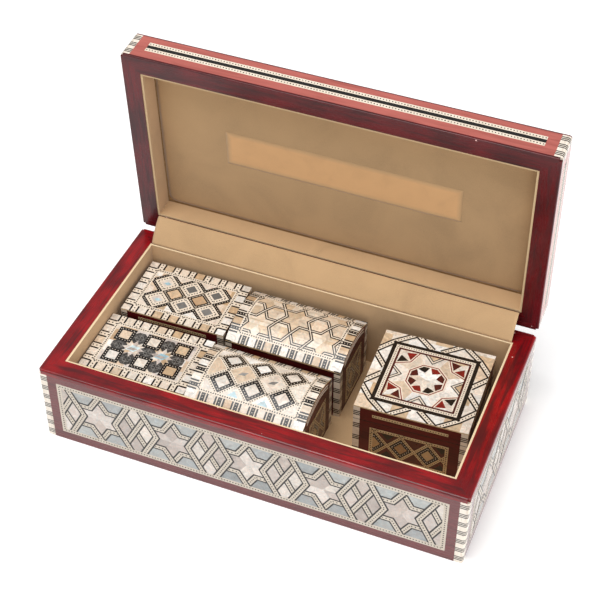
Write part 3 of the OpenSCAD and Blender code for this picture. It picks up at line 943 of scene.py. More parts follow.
def diamond_trellis(work, panel, p, q):
    """Two rows of three pale diamonds, of half diagonals p and q, with dark ones between them."""
    field(work, panel)
    pale = [(2 * i * p, j * q) for i in (-1, 0, 1) for j in (-1, 1)]
    dark = [(i * p, 0) for i in (-1, 1)]
    out_p, out_q = shrink(p, q, -1.0)
    for cx, cy in pale:
        work.dark_strap(panel, diamond(cx, cy, out_p, out_q), 0.08, True, 2.1)
    for cx, cy in dark:
        a, b = shrink(p, q, 1.1)
        work.shell(panel, diamond(cx, cy, p, q), "peach", 0.09)
        work.dark_strap(panel, diamond(cx, cy, a, b), 0.11, True, 2.0)
    for k, (cx, cy) in enumerate(pale):
        a, b = shrink(p, q, 1.4)
        work.shell(panel, diamond(cx, cy, p, q), "star" if k < 2 else "grey", 0.1)
        if k < 2:
            work.shell(panel, diamond(cx + 0.5, cy - 0.3, 2.2, 1.4), "blue", 0.115)
        work.pale_strap(panel, diamond(cx, cy, a, b), 0.12, True, 2.8, 0.75)
    panel.window = panel.whole


def star_grid(work, panel, x, y):
    """Dark dotted squares x and y from the middle, eight-pointed stars and smoked pieces."""
    field(work, panel, ("star", "cream"))
    squares = [(i * x, j * y) for i in (-1, 0, 1) for j in (-1, 1)]
    smoked = [(i * x / 2, j * y) for i in (-1, 1) for j in (-1, 1)]
    smoked += [(i * x, 0) for i in (-1, 0, 1)]

    for middle in smoked:
        eight = [polar(4.9, 22.5 + 45 * k, middle) for k in range(8)]
        work.tile(panel, eight, "Smoked Wood", 0.07)
        for k in range(8):
            spoke = [middle, polar(4.3, 45 * k, middle)]
            work.band(panel, spoke, 0.3, "Ebony" if k % 2 else "Grey Wood", 0.085)
        hoop = [polar(2.4, 45 * k, middle) for k in range(8)]
        work.band(panel, hoop, 0.3, "Grey Wood", 0.09, True)
    slant = [(-3.9, -1.9), (1.5, -2.4), (3.9, 1.9), (-1.5, 2.4)]
    sliver = [(-3.4, -1.2), (0.6, -1.6), (2.6, 0.4), (-1.6, 0.6)]
    for cx in (-x / 2, x / 2):
        for k in range(8):
            work.shell(panel, kite((cx, 0), 3.9, 6.8, 45 * k, 22.5), "cream" if k % 2 else "star", 0.1)
        work.shell(panel, moved(slant, cx, 0), "blue", 0.12)
        work.shell(panel, moved(sliver, cx, 0), "star", 0.13)
    for cx, cy in squares:
        work.shell(panel, ring(5.2, 5.2, 0, (cx, cy)), "cream", 0.12)
        work.dark_strap(panel, ring(5.2, 5.2, 1.0, (cx, cy)), 0.14, True, 2.2)
    panel.window = panel.whole


def crossed_lattice(work, panel, p, q):
    """Dark dotted diamonds in a lattice of thin dotted lines."""
    for i in range(-5, 6):
        for j in range(-3, 4):
            if (i + j) % 2 == 0:
                continue
            cx, cy = i * p, j * q
            work.shell(panel, diamond(cx, cy, p, q), "white" if j else "cream", 0.05)
            if j == 0 and abs(i) == 1:
                slant = [(-2.6, -1.6), (1.2, -1.0), (2.6, 1.8), (-0.8, 0.8)]
                work.shell(panel, moved(slant, cx, cy), "grey", 0.07)
            if j == -2 and abs(i) == 1:
                work.shell(panel, moved([(-3.4, 1.2), (3.4, 1.2), (0, 5.0)], cx, cy), "blue", 0.07)
    for k in range(-8, 9):
        for s in (-1, 1):
            # every line passes through corners of the lattice
            x = 2 * k * p
            line = [(x - 6 * p, -6 * s * q), (x + 6 * p, 6 * s * q)]
            work.pale_strap(panel, line, 0.09, width=1.7, size=0.7)
    for i in (-2, 0, 2):
        for j in (-1, 1):
            a, b = shrink(p, q, 0.75)
            work.shell(panel, diamond(i * p, j * q, a, b), "white", 0.11)
            a, b = shrink(p, q, 1.9)
            work.dark_strap(panel, diamond(i * p, j * q, a, b), 0.13, True, 2.2)
    panel.window = panel.whole


def star_net(work, panel, gap, start, width=2.0):
    """Zigzag lines in three directions that cross as six-pointed stars and hexagons."""
    u0, v0, u1, v1 = panel.window
    across, push, pale_share = gap * math.sqrt(3), gap / math.sqrt(3) / 2, 0.3
    reach = math.ceil((u1 - u0 + v1 - v0) / gap)
    kinds = ("net",)
    field(work, panel, kinds, 11)
    # stars in shell, as six kites each
    columns = math.ceil((u1 - u0) / across) + 1
    rows = math.ceil((v1 - v0) / (2 * gap)) + 1
    for i in range(-columns, columns + 1):
        for j in range(-rows, rows + 1):
            middle = (start[0] + (i + 0.5) * across, start[1] + (2 * j + 0.5 + (i % 2)) * gap)
            for k in range(6):
                point = kite(middle, 0.577 * gap, gap, 60 * k + 30, 30)
                work.shell(panel, point, work.random.choice(kinds), 0.06)
    # each direction of lines lies over the one before it
    for turn, top in ((-30, 0.09), (30, 0.12), (90, 0.15)):
        way = polar(1, turn)
        left = (-way[1], way[0])
        for k in range(-4, 5):
            if turn == 90:
                base, sign = (start[0] + across * k, start[1]), (1 if k % 2 else -1)
            else:
                base = (start[0] + across * (turn > 0), start[1] + 2 * gap * k)
                sign = -1 if turn > 0 else 1
            line = []
            for m in range(-reach, reach):
                side = sign * push * (-1 if m % 2 else 1)
                line.append([base[n] + way[n] * (m + 0.5) * gap + left[n] * side for n in (0, 1)])
            work.band(panel, line, width, "Ebony", top)
            work.band(panel, line, width * pale_share, "Bone", top + 0.015)
    panel.window = panel.whole


def leaning_straps(work, panel, frame_u, frame_v):
    """Straps that lean on each other in pairs, two pairs on each side of the frame."""
    sides = ((True, frame_u, frame_v, panel.half_v), (False, frame_v, frame_u, panel.half_u))
    for along_u, run, near, far in sides:
        for side in (-1, 1):
            for middle in (-0.55, 0.55):
                for lean in (-1, 1):
                    a = (middle * run + lean * run * 0.45, side * (near - 0.5))
                    b = (middle * run + lean * 0.8, side * (far + 1.0))
                    ends = [a, b] if along_u else [(a[1], a[0]), (b[1], b[0])]
                    work.strap(panel, ends, 0.09 + 0.03 * (lean > 0), width=4.0, edge=1.0)


def quarter_star(work, panel, su, sv, in_u, in_v):
    """A quarter of a star in one corner of the frame."""

    def near(reach, degrees):
        x, y = polar(reach, degrees)
        return (su * (in_u - x), sv * (in_v - y))

    outline = [near(11.6, 0), near(11.6, 45), near(11.6, 90)]
    work.tile(panel, [near(0, 0), *outline], "Bone", 0.1)
    finishes = ("Rosewood", "Red Wood") if su * sv > 0 else ("Red Wood", "Ebony")
    for at, finish in zip((0, 45), finishes):
        three = [near(4.6, at + 22.5), near(10.4, at + 3), near(10.2, at + 22.5), near(10.4, at + 42)]
        work.tile(panel, three, finish, 0.115)
    for at in (0, 45, 90):
        point = [near(0, 0), near(4.8, at - 22), near(10.2, at), near(4.8, at + 22)]
        work.shell(panel, point, "white" if at == 45 else "cream", 0.125)
    work.band(panel, outline, 1.9, "Bone", 0.13)
    work.band(panel, outline, 0.6, "Red Wood", 0.145)


def side_chevron(work, panel, k, side):
    """A small chevron half way along side k of the frame."""
    a = math.radians(90 * k)
    peak = [
        (x * math.cos(a) - y * math.sin(a), x * math.sin(a) + y * math.cos(a))
        for x, y in ((side + 1, -5.4), (side - 4.8, 0), (side + 1, 5.4))
    ]
    work.shell(panel, peak, "cream", 0.1)
    work.band(panel, peak, 2.1, "Smoked Wood", 0.12)
    work.band(panel, peak, 0.7, "Bone", 0.13)


def octagon_star(work, panel, size=12.6, notch=5.6):
    """An octagon with an eight-pointed star in it."""
    turns = [22.5 + 45 * k for k in range(8)]
    work.tile(panel, [polar(size, at) for at in turns], "Bone", 0.12)
    work.band(panel, [polar(size - 1.1, at) for at in turns], 0.6, "Red Wood", 0.14, True)
    inner = size - 2.2
    for k, at in enumerate(turns):
        finish = ("Rosewood", "Red Wood", "Ebony", "Rosewood")[k % 4]
        arc = [polar(inner * 0.93, at - 20), polar(inner, at), polar(inner * 0.93, at + 20)]
        work.tile(panel, [polar(notch - 0.6, at), *arc], finish, 0.13)
    for k in range(8):
        point = kite((0, 0), notch, inner * 0.95, 45 * k, 22.5)
        work.shell(panel, point, "white" if k % 2 else "cream", 0.15)


def rosette(work, panel):
    """Top of the square box: leaning straps, dark frame, corner pieces and an eight-pointed star."""
    field(work, panel, ("cream", "white", "cream"), 10)
    # the dark frame lies a strap's length inside the edge
    frame_u, frame_v = panel.half_u - 7.0, panel.half_v - 7.2
    leaning_straps(work, panel, frame_u, frame_v)
    work.band(panel, ring(frame_u, frame_v, 1.1), 2.2, "Ebony", 0.16, True)
    work.pale_strap(panel, ring(frame_u, frame_v, 3.2), 0.16, True, 2.2)
    work.band(panel, ring(frame_u, frame_v, 4.8), 1.2, "Rosewood", 0.16, True)
    in_u, in_v = frame_u - 5.2, frame_v - 5.2
    panel.window = (-in_u, -in_v, in_u, in_v)
    work.shell(panel, ring(in_u, in_v), "white", 0.08)
    for k in range(8):
        wedge = [(0, 0), polar(40, 45 * k - 22.5), polar(40, 45 * k + 22.5)]
        work.shell(panel, wedge, "cream" if k % 2 else "white", 0.09)
    for su in (-1, 1):
        for sv in (-1, 1):
            quarter_star(work, panel, su, sv, in_u, in_v)
    for k in range(4):
        side_chevron(work, panel, k, in_v if k % 2 else in_u)
    octagon_star(work, panel)
    panel.window = panel.whole


def post_stripes(work, panel, low, high):
    """Cream corner strips with groups of three dark lines across them."""
    width = SMALL_POST
    for side in (-1, 1):
        u = side * (panel.half_u - width / 2)
        work.band(panel, [(u, low), (u, high)], width, "Bone", 0.06)
        count = max(1, round((high - low) / 8.8))
        step = (high - low) / count
        for k in range(count):
            for line in (-1.35, 0, 1.35):
                v = low + (k + 0.5) * step + line
                ends = [(u - width / 2, v), (u + width / 2, v)]
                work.band(panel, ends, 0.75, "Ebony", 0.08)


def marquetry(work, panel, half_u, middle, half_v, pitch=15.6, shift=-4.4):
    """A side panel: dotted border, dark dotted diamonds and crossed dotted straps."""
    panel.window = (-half_u, middle - half_v, half_u, middle + half_v)
    work.tile(panel, ring(half_u, half_v, 0, (0, middle)), "Rosewood", 0.05)
    p, q = pitch / 2, half_v - 2.2
    for i in range(-3, 4):
        at = shift + i * pitch
        work.tile(panel, diamond(at, middle, p, q), "Tan Wood", 0.07)
        a, b = shrink(p, q, 2.0)
        work.dark_strap(panel, diamond(at, middle, a, b), 0.1, True, 2.3)
        a, b = shrink(p, q, 3.1)
        work.shell(panel, diamond(at, middle, a, b), "tan", 0.11)
        for s in (-1, 1):
            low, high = middle + s * q * 0.5, middle + s * q
            three = [(at + p * 0.5, high), (at + p * 1.5, high), (at + p, low)]
            work.tile(panel, three, "Ebony" if i % 2 else "Rosewood", 0.08)
            ends = [(at - 2 * p, middle - 3 * s * q), (at + 4 * p, middle + 3 * s * q)]
            work.band(panel, ends, 1.7, "Tan Wood", 0.12 + 0.01 * s)
            work.dots(panel, ends, 0.13, pitch=1.4, size=0.6)
    line = ring(half_u, half_v, 1.0, (0, middle))
    work.band(panel, line, 2.0, "Tan Wood", 0.16, True)
    work.dots(panel, line, 0.16, closed=True, pitch=1.5, size=0.65)
    panel.window = panel.whole


# ---- panels of the real faces ----
def span_of(points):
    """Lowest and highest corner of some points."""
    low = Vector([min(p[i] for p in points) for i in range(3)])
    high = Vector([max(p[i] for p in points) for i in range(3)])
    return low, high


def span(*nodes):
    """Lowest and highest corner of several nodes together, in metres."""
    return span_of([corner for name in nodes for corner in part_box(name)])


def closed_span(*nodes):
    """Lowest and highest corner that nodes of the lid have when it is closed."""
    closed = OPEN_LID.inverted()
    return span_of([closed @ v.co for name in nodes for v in frame["nodes"][name].data.vertices])


def corners_of(node):
    """Middle, direction of the width, width and depth of a node that is turned a little about Z."""
    points = [v.co for v in frame["nodes"][node].data.vertices]
    front_left = min(points, key=lambda p: p.x + p.y)
    front_right = max(points, key=lambda p: p.x - p.y)
    back_left = max(points, key=lambda p: p.y - p.x)
    back_right = max(points, key=lambda p: p.x + p.y)
    middle = (front_left + front_right + back_left + back_right) / 4
    across = (front_right - front_left).to_2d()
    depth = (back_left - front_left).to_2d()
    way = Vector((across.x, across.y, 0)).normalized()
    return middle, way, across.length / MM, depth.length / MM


def upright_sides(low, high, posts, turn=None):
    """Panels on the front, back, right and left of a box, between its posts."""
    middle, half = (low + high) / 2, (high - low) / 2
    found = []
    for out in ((0, -1, 0), (0, 1, 0), (1, 0, 0), (-1, 0, 0)):
        out = Vector(out)
        across = Vector((-out.y, out.x, 0))
        half_u = half.x if out.y else half.y
        at = middle + Vector((out.x * half.x, out.y * half.y, 0))
        found.append(Panel(at, across, (0, 0, 1), half_u / MM - posts, half.z / MM, turn=turn))
    return found


FLAT, DOMED = ("flat_rear", "flat_front"), ("dome_rear", "dome_front")


def small_top(name, half_v=None, radius=None):
    """The panel on top of a small box."""
    middle, way, width, depth = corners_of(name + "_inlay")
    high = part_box(name + "_inlay")[1].z
    up = Vector((-way.y, way.x, 0))
    at = (middle.x, middle.y, high)
    return Panel(at, way, up, width / 2, half_v or depth / 2, radius)


def small_sides(name, nodes):
    """Four upright panels round a small box, over the height of some of its nodes."""
    middle, way, width, depth = corners_of(name + "_inlay")
    low, high = span(*nodes)
    up, z = Vector((0, 0, 1)), (low.z + high.z) / 2
    half_v = (high.z - low.z) / 2 / MM
    middle = Vector((middle.x, middle.y, z))
    side = Vector((-way.y, way.x, 0))
    found = []
    for k, (half_u, reach) in enumerate(((width, depth), (depth, width)) * 2):
        turn = Matrix.Rotation(k * math.pi / 2, 3, "Z")
        across = turn @ way
        out = across.cross(up)
        found.append(Panel(middle + out * reach / 2 * MM, across, up, half_u / 2, half_v))
    return found


# ---- operators ----
class MakeFinishes(bpy.types.Operator):
    """Gives the lacquered rails, veneers, posts and boards their wood."""

    bl_idname = "inlaid_box.make_finishes"
    bl_label = "Wood Finishes"

    def execute(self, context):
        make_groups()
        c = colours()
        rails = (("Long", ALONG_X, ALONG_X, "front back"), ("Cross", ALONG_Y, LID_BACK, "left right"))
        for tag, way, lid_way, ends in rails:
            red = (c.lacquer, c.lacquer_dark, way, 0.75, 0.3, 0.4, 0.02, 0.6)
            wine = (c.wine, c.wine_dark, lid_way, 0.6, 0.3, 0.15, 0.03, 0.5)
            for end in ends.split():
                dress(wood_finish("Red Lacquer " + tag, *red), "base_rim_" + end)
                dress(wood_finish("Wine Lacquer " + tag, *wine), "lid_rim_" + end)
        # The mauve colour holds a painted reflection of the pale floor on top of the veneer's own dark
        # red-brown
        mauve_and_sheen = wood_finish("Mauve Veneer Long", c.mauve_and_sheen, tone("431C1E"), ALONG_X, 0.5, 0.3, 0.35, 0.003)
        dress(mauve_and_sheen, "base_veneer_front", "base_veneer_back", "lid_veneer_back", "lid_veneer_top")
        mauve_and_sheen = wood_finish("Mauve Veneer Cross", c.mauve_and_sheen, tone("4A2A28"), ALONG_Y, 0.5, 0.28, 0.8, 0.003)
        dress(mauve_and_sheen, "base_veneer_sides")
        for tag, way, name in (("Long", ALONG_X, "front"), ("Cross", LID_BACK, "sides")):
            rose = (c.rose, c.rose_dark, way, 0.55, 0.28, 0.6, 0.01)
            dress(wood_finish("Rose Veneer " + tag, *rose), "lid_veneer_" + name)
        board = wood_finish("Core Board", tone("B08A5E"), tone("7A5936"), ALONG_X, 0.5, 0.6, 0.0)
        walls = [n for n in frame["nodes"] if n.startswith(("base_wall_", "lid_wall_"))]
        dress(board, "base_bottom", "lid_board", *walls)
        stained = wood_finish("Small Box Wood", c.small, tone("240806"), ALONG_X, 0.6, 0.45, 0.08, 0.004)
        for name in (*FLAT, *DOMED, "square"):
            lid = "square_lid_board" if name == "square" else name + "_lid"
            dress(stained, name + "_walls", lid)
            dress(wood("Tan Wood"), name + "_inlay")
            dress(nap_finish("Tray Suede", c.suede), name + "_floor")
        return {"FINISHED"}


class MakePosts(bpy.types.Operator):
    """Gives the corner posts of the box and its lid their dark lines."""

    bl_idname = "inlaid_box.make_posts"
    bl_label = "Corner Posts"

    def execute(self, context):
        lines = {"Group_Width": 3.5, "Line_Pitch": 1.25, "Line_Width": 0.72}
        for name, way, groups, ahead in (("base", Vector((0, 0, 1)), 7, 0.7), ("lid", LID_UP, 3, 0.75)):
            node = name + "_corner_posts"
            reach = [v.co.dot(way) / MM for v in frame["nodes"][node].data.vertices]
            pitch = (max(reach) - min(reach)) / groups
            start = min(reach) - pitch * ahead
            dress(post_finish(name.title() + " Posts", way, start, Group_Pitch=pitch, **lines), node)
        return {"FINISHED"}


class MakeLinings(bpy.types.Operator):
    """Gives the fixed linings their suede, with a pale cut edge."""

    bl_idname = "inlaid_box.make_linings"
    bl_label = "Suede Linings"

    def execute(self, context):
        c = colours()
        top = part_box("base_lining_long")[1].z / MM - 0.15
        edge = ((0, 0, 1), top, c.card)
        lined = nap_finish("Edged Suede", c.suede, edge=edge)
        dress(lined, "base_lining_long", "base_lining_short")
        dress(nap_finish("Tray Suede", c.suede), "base_lining_floor")
        down = -LID_UP
        reach = max(v.co.dot(down) for v in frame["nodes"]["lid_lining_edges"].data.vertices)
        # The lid's cut edge takes a dimmer copy of the card colour: painted shade on these edges
        edge = (tuple(down), reach / MM - 0.15, tone("C9AE86"))
        dress(nap_finish("Lid Edged Suede", c.suede, edge=edge), "lid_lining_edges")
        return {"FINISHED"}


class MakeHinges(bpy.types.Operator):
    """Gives the hinges and their screws dull brass."""

    bl_idname = "inlaid_box.make_hinges"
    bl_label = "Brass Hinges"

    def execute(self, context):
        made = Finish("Dull Brass", Metallic=1.0)
        wear = noise(made.tree, made.position, 420, 4)
        made.colour(mix(made.tree, wear, rgba(tone("C9A45C")), rgba(tone("7E5F2E"))))
        made.roughness(ramp(made.tree, wear, [(0.3, 0.25), (0.7, 0.5)]))
        made.bump(wear, 0.00005, 0.5)
        for name in frame["nodes"]:
            if name.startswith("hinge_") and name != "hinge_cloth":
                dress(made.material, name)
        return {"FINISHED"}


class MakeBaseInlay(bpy.types.Operator):
    """Makes the star bands round the box and the plain frame on its back."""

    bl_idname = "inlaid_box.make_base_inlay"
    bl_label = "Base Star Bands"

    def execute(self, context):
        low, high = span("base_veneer_front", "base_veneer_back", "base_veneer_sides")
        front, back, right, left = upright_sides(low, high, POST)
        # margins of the star bands in millimetres; a band sits a little above the middle
        side_margin, half_v, rise = 5.5, front.half_v - 5.4, 0.9 * MM
        for panel in (front, right, left):
            panel.middle.z += rise
        stars = sizes().stars
        # the star bands take the greyer copy of bone, which is painted shade
        work = Inlay("base_front_stars", 1, "Aged Bone")
        star_band(work, front, front.half_u - side_margin, half_v, stars)
        work.finished("base")
        count = max(1, round(stars * right.half_u / front.half_u))
        for name, panel, seed in (("right", right, 2), ("left", left, 3)):
            work = Inlay(f"base_{name}_stars", seed, "Aged Bone")
            star_band(work, panel, panel.half_u - side_margin, half_v, count)
            work.finished("base")
        work = Inlay("base_back_frame", 4)
        back_margin = 7
        line = ring(back.half_u - back_margin, half_v)
        work.pale_strap(back, line, 0.08, True, width=2.6, size=0.7)
        work.finished("base")
        return {"FINISHED"}


class MakeLidInlay(bpy.types.Operator):
    """Makes the strips round the lid and the star net on its top."""

    bl_idname = "inlaid_box.make_lid_inlay"
    bl_label = "Lid Inlay"

    def execute(self, context):
        low, high = closed_span("lid_veneer_front", "lid_veneer_back", "lid_veneer_sides")
        sides = zip(("front", "back", "right", "left"), upright_sides(low, high, POST, OPEN_LID))
        # the strip's margin, half height and place above the middle, in millimetres
        margin, half_v, above = 6.5, 3.75, 0.6
        for k, (name, panel) in enumerate(sides):
            work = Inlay(f"lid_{name}_strip", 10 + k)
            triple_strip(work, panel, panel.half_u - margin, half_v, above)
            work.finished("lid")
        low, high = closed_span("lid_veneer_top")
        middle, half, margin = (low + high) / 2, (high - low) / 2 / MM, 9
        at = (middle.x, middle.y, high.z)
        top = Panel(at, ALONG_X, ALONG_Y, half.x - margin, half.y - margin, turn=OPEN_LID)
        work = Inlay("lid_top_stars", 14)
        border_row(work, top, margin, pitch=12.5, thick=True)
        star_net(work, top, gap=19.5, start=(-16.9, 0), width=2.6)
        work.finished("lid")
        return {"FINISHED"}


class MakeFlatBoxes(bpy.types.Operator):
    """Makes the inlay of the two flat small boxes."""

    bl_idname = "inlaid_box.make_flat_boxes"
    bl_label = "Flat Small Boxes"

    def execute(self, context):
        for k, name in enumerate(FLAT):
            top = small_top(name)
            work = Inlay(name + "_top_inlay", 20 + k)
            border_row(work, top, inset=6.2, pitch=10)
            if name == "flat_rear":
                diamond_trellis(work, top, p=8.0, q=7.3)
            else:
                star_grid(work, top, x=18.0, y=8.65)
            work.finished(name + "_cover")
            side_inlay(name, 24 + k)
        return {"FINISHED"}


class MakeDomeBoxes(bpy.types.Operator):
    """Makes the inlay of the two domed small boxes."""

    bl_idname = "inlaid_box.make_dome_boxes"
    bl_label = "Domed Small Boxes"

    def execute(self, context):
        for k, name in enumerate(DOMED):
            depth = corners_of(name + "_inlay")[3]
            low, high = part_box(name + "_inlay")
            foot = dome_foot(name)
            rise = (high.z - foot) / MM
            radius = (depth * depth / 4 + rise * rise) / (2 * rise)
            arc = radius * math.asin(depth / 2 / radius)
            top = small_top(name, arc, radius)
            work = Inlay(name + "_top_inlay", 30 + k)
            border_row(work, top, inset=6.4, pitch=10, thick=True)
            if name == "dome_rear":
                star_net(work, top, gap=11.6, start=(-10.6, -3.2))
            else:
                crossed_lattice(work, top, p=9.0, q=8.6)
            work.finished(name + "_cover")
            side_inlay(name, 34 + k)
        return {"FINISHED"}


class MakeSquareBox(bpy.types.Operator):
    """Makes the inlay of the square small box."""

    bl_idname = "inlaid_box.make_square_box"
    bl_label = "Square Small Box"

    def execute(self, context):
        top = small_top("square")
        work = Inlay("square_top_inlay", 40)
        rosette(work, top)
        work.finished("square_cover")
        side_inlay("square", 41)
        return {"FINISHED"}


def dome_foot(name):
    """Height at which the arc of a domed lid starts, in metres."""
    points = [v.co for v in frame["nodes"][name + "_inlay"].data.vertices]
    middle, way, width, depth = corners_of(name + "_inlay")
    side = Vector((-way.y, way.x, 0))
    edge = [p.z for p in points if abs((p - middle).dot(side)) / MM > depth / 2 - 0.05]
    return max(edge)


def side_inlay(name, seed):
    """Posts, strips and side panels of a small box, on its walls and on its lid."""
    work = Inlay(name + "_walls_inlay", seed)
    for panel in small_sides(name, [name + "_walls"]):
        hv = panel.half_v
        post_stripes(work, panel, -hv, hv)
        # the field stands clear of the posts, and of the seam and the foot
        marquetry(work, panel, panel.half_u - SMALL_POST - 6, middle=-0.9, half_v=hv - 3.3)
    work.finished(name + "_box")
    work = Inlay(name + "_lid_inlay", seed + 100)
    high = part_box(name + "_inlay")[1].z
    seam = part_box(name + "_walls")[1].z
    domed = name in DOMED
    foot = dome_foot(name) if domed else high
    for k, panel in enumerate(small_sides(name, [name + "_inlay"])):
        centre, half = panel.middle.z, panel.half_u
        lo, hi, peak = ((z - centre) / MM for z in (seam, foot, high))
        panel.window = (-half, lo, half, peak)
        post_stripes(work, panel, lo + 0.35, hi - 0.8)
        # the dark seam under the lid: a thin dark band, painted shadow of the gap between lid and walls
        work.band(panel, [(-half, lo + 0.18), (half, lo + 0.18)], 0.36, "Ebony", 0.05)
        if not domed:
            v, reach = (lo + hi) / 2, half - SMALL_POST - 7
            line = [(-reach, v), (reach, v)]
            work.band(panel, line, 2.0, "Tan Wood", 0.08)
            work.dots(panel, line, 0.08, pitch=1.5, size=0.65)
        elif k % 2:
            arch_strips(work, panel, hi, peak, half)
    work.finished(name + "_cover")


def arch_strips(work, panel, foot, peak, half):
    """Two thin pale strips that follow the arch on the end of a domed lid."""
    rise = peak - foot
    radius = (half * half + rise * rise) / (2 * rise)
    width, steps = 0.9, 16
    for inset in (2.4, 4.4):
        inner = radius - inset
        reach = math.asin((half - 6.5) / inner)
        turns = [reach - 2 * reach * k / steps for k in range(steps + 1)]
        line = [(inner * math.sin(a), inner * math.cos(a) - radius + peak) for a in turns]
        work.band(panel, line, width, "Bone", 0.08)


def pad_half(low, high):
    """Half the width and depth of the pad, with a little room round it."""
    gap = 1.5 * MM
    return (high.x - low.x) / 2 - gap, (high.y - low.y) / 2 - gap


def pad_waves():
    """Lengths in millimetres and starts of the slow waves in the pad's surface."""
    draw = random.Random(5).uniform
    return [(draw(6, 22), draw(6, 22), draw(0, 6.3)) for _ in range(5)]


PAD_WAVES = pad_waves()


def pad_drop(x, y, edge):
    """How far the pad hangs below its board at a point; edge is the way to its border."""
    soft = 1 - math.exp(-edge / (2.2 * MM))
    ripple = sum(math.sin(x / MM / p + y / MM / q + r) for p, q, r in PAD_WAVES) / len(PAD_WAVES)
    return 0.15 * MM + (0.9 + 0.22 * ripple) * soft * MM


def closed_grid(name, columns, rows, front, back, finish):
    """A closed sheet between two grids of points, each a function of column and row."""
    mesh = bmesh.new()
    keys = [(i, j) for i in range(columns + 1) for j in range(rows + 1)]
    near = {key: mesh.verts.new(front(*key)) for key in keys}
    far = {key: mesh.verts.new(back(*key)) for key in keys}
    for i in range(columns):
        for j in range(rows):
            square = [(i, j), (i + 1, j), (i + 1, j + 1), (i, j + 1)]
            mesh.faces.new([far[k] for k in square])
            mesh.faces.new([near[k] for k in reversed(square)])
    rim = [(i, 0) for i in range(columns)] + [(columns, j) for j in range(rows)]
    rim += [(i, rows) for i in range(columns, 0, -1)] + [(0, j) for j in range(rows, 0, -1)]
    for k, here in enumerate(rim):
        there = rim[(k + 1) % len(rim)]
        mesh.faces.new([near[here], near[there], far[there], far[here]])
    bmesh.ops.recalc_face_normals(mesh, faces=mesh.faces)
    for face in mesh.faces:
        face.smooth = True
    data = bpy.data.meshes.new(name)
    mesh.to_mesh(data)
    mesh.free()
    data.materials.append(finish)
    piece = bpy.data.objects.new(name, data)
    bpy.context.scene.collection.objects.link(piece)
    return piece


class MakeLidPad(bpy.types.Operator):
    """Makes the padded lining inside the lid."""

    bl_idname = "inlaid_box.make_lid_pad"
    bl_label = "Lid Pad"

    def execute(self, context):
        low, high = closed_span("lid_lining_pad")
        middle = (low + high) / 2
        hx, hy = pad_half(low, high)
        columns, rows, corner = 96, 52, 5 * MM

        def spot(i, j):
            """Place of a grid point, with rounded corners."""
            x, y = (2 * i / columns - 1) * hx, (2 * j / rows - 1) * hy
            ox, oy = abs(x) - (hx - corner), abs(y) - (hy - corner)
            if ox > 0 and oy > 0:
                share = max(ox, oy) / math.hypot(ox, oy)
                x = math.copysign(hx - corner + ox * share, x)
                y = math.copysign(hy - corner + oy * share, y)
            return x, y

        def below(i, j):
            x, y = spot(i, j)
            edge = min(hx * min(i, columns - i) / columns, hy * min(j, rows - j) / rows) * 2
            drop = pad_drop(x, y, edge)
            return OPEN_LID @ Vector((middle.x + x, middle.y + y, high.z - drop))

        def above(i, j):
            x, y = spot(i, j)
            return OPEN_LID @ Vector((middle.x + x, middle.y + y, high.z))

        finish = nap_finish("Padded Suede", colours().pad, patch=24, contrast=0.7)
        pad = closed_grid("lid_pad", columns, rows, below, above, finish)
        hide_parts("lid_lining_pad")
        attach(pad, "lid")
        return {"FINISHED"}


class MakeLidLabel(bpy.types.Operator):
    """Makes the plain satin patch on the pad."""

    bl_idname = "inlaid_box.make_lid_label"
    bl_label = "Satin Patch"

    def execute(self, context):
        low, high = closed_span("lid_label")
        middle, half = (low + high) / 2, (high - low) / 2
        pad_low, pad_high = closed_span("lid_lining_pad")
        pad_middle = (pad_low + pad_high) / 2
        far_in = pad_half(pad_low, pad_high)[1]
        columns, rows = 96, 16

        def lying(proud):
            def at(i, j):
                x = middle.x + (2 * i / columns - 1) * half.x
                y = middle.y + (2 * j / rows - 1) * half.y
                drop = pad_drop(x - pad_middle.x, y - pad_middle.y, far_in)
                return OPEN_LID @ Vector((x, y, pad_high.z - drop - proud * MM))

            return at

        finish = satin_finish(OPEN_LID @ middle, half)
        patch = closed_grid("lid_satin_patch", columns, rows, lying(0.07), lying(-0.1), finish)
        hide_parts("lid_label")
        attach(patch, "lid")
        return {"FINISHED"}


class MakeHingeCloth(bpy.types.Operator):
    """Makes the suede strip that covers the gap at the hinges."""

    bl_idname = "inlaid_box.make_hinge_cloth"
    bl_label = "Hinge Cloth"

    def execute(self, context):
        low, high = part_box("hinge_cloth")
        thick, bulge = 0.5 * MM, 1.1 * MM
        # line from the tray's edge up to the lid's edge
        start = Vector((0, low.y + 0.75 * MM, low.z - 0.35 * MM))
        end = Vector((0, high.y - 0.1 * MM, high.z - 0.4 * MM))
        columns, rows = 120, 14
        way = (end - start).normalized()
        out = Vector((0, -way.z, way.y))

        def hung(proud):
            def at(i, j):
                x, t = low.x + (high.x - low.x) * i / columns, j / rows
                fold = 0.12 * MM * math.sin(x / MM / 7.0) * math.sin(math.pi * t)
                lift = (bulge + fold) * math.sin(math.pi * t) * 0.9
                place = start.lerp(end, t) + out * (lift + proud)
                return Vector((x, place.y, place.z))

            return at

        finish = nap_finish("Hinge Suede", colours().suede, patch=30)
        strip = closed_grid("hinge_suede_strip", columns, rows, hung(thick), hung(0), finish)
        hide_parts("hinge_cloth")
        shares = [j / rows for j in range(rows + 1)]
        arc = [start.lerp(end, t) + out * bulge * math.sin(math.pi * t) for t in shares]
        cut_length = sum((b - a).length for a, b in zip(arc, arc[1:]))
        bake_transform(strip)
        return {"FINISHED"}


WHITE = (1, 1, 1)
# Name, place, side and power in watts of each light
LIGHTS = (
    ("Top Softbox", (-0.15, -0.2, 1.1), 0.8, 10.5),
    ("Front Fill", (0.5, -1.2, 0.45), 0.8, 3.6),
    ("Right Fill", (1.3, 0.2, 0.1), 0.5, 11.0),
)
CAMERA_AT = (0.2191, -0.5379, 0.6401)
# Way round from the front, height and roll of the camera, in degrees
CAMERA_TURN = (20.1, 43.0, 1.36)


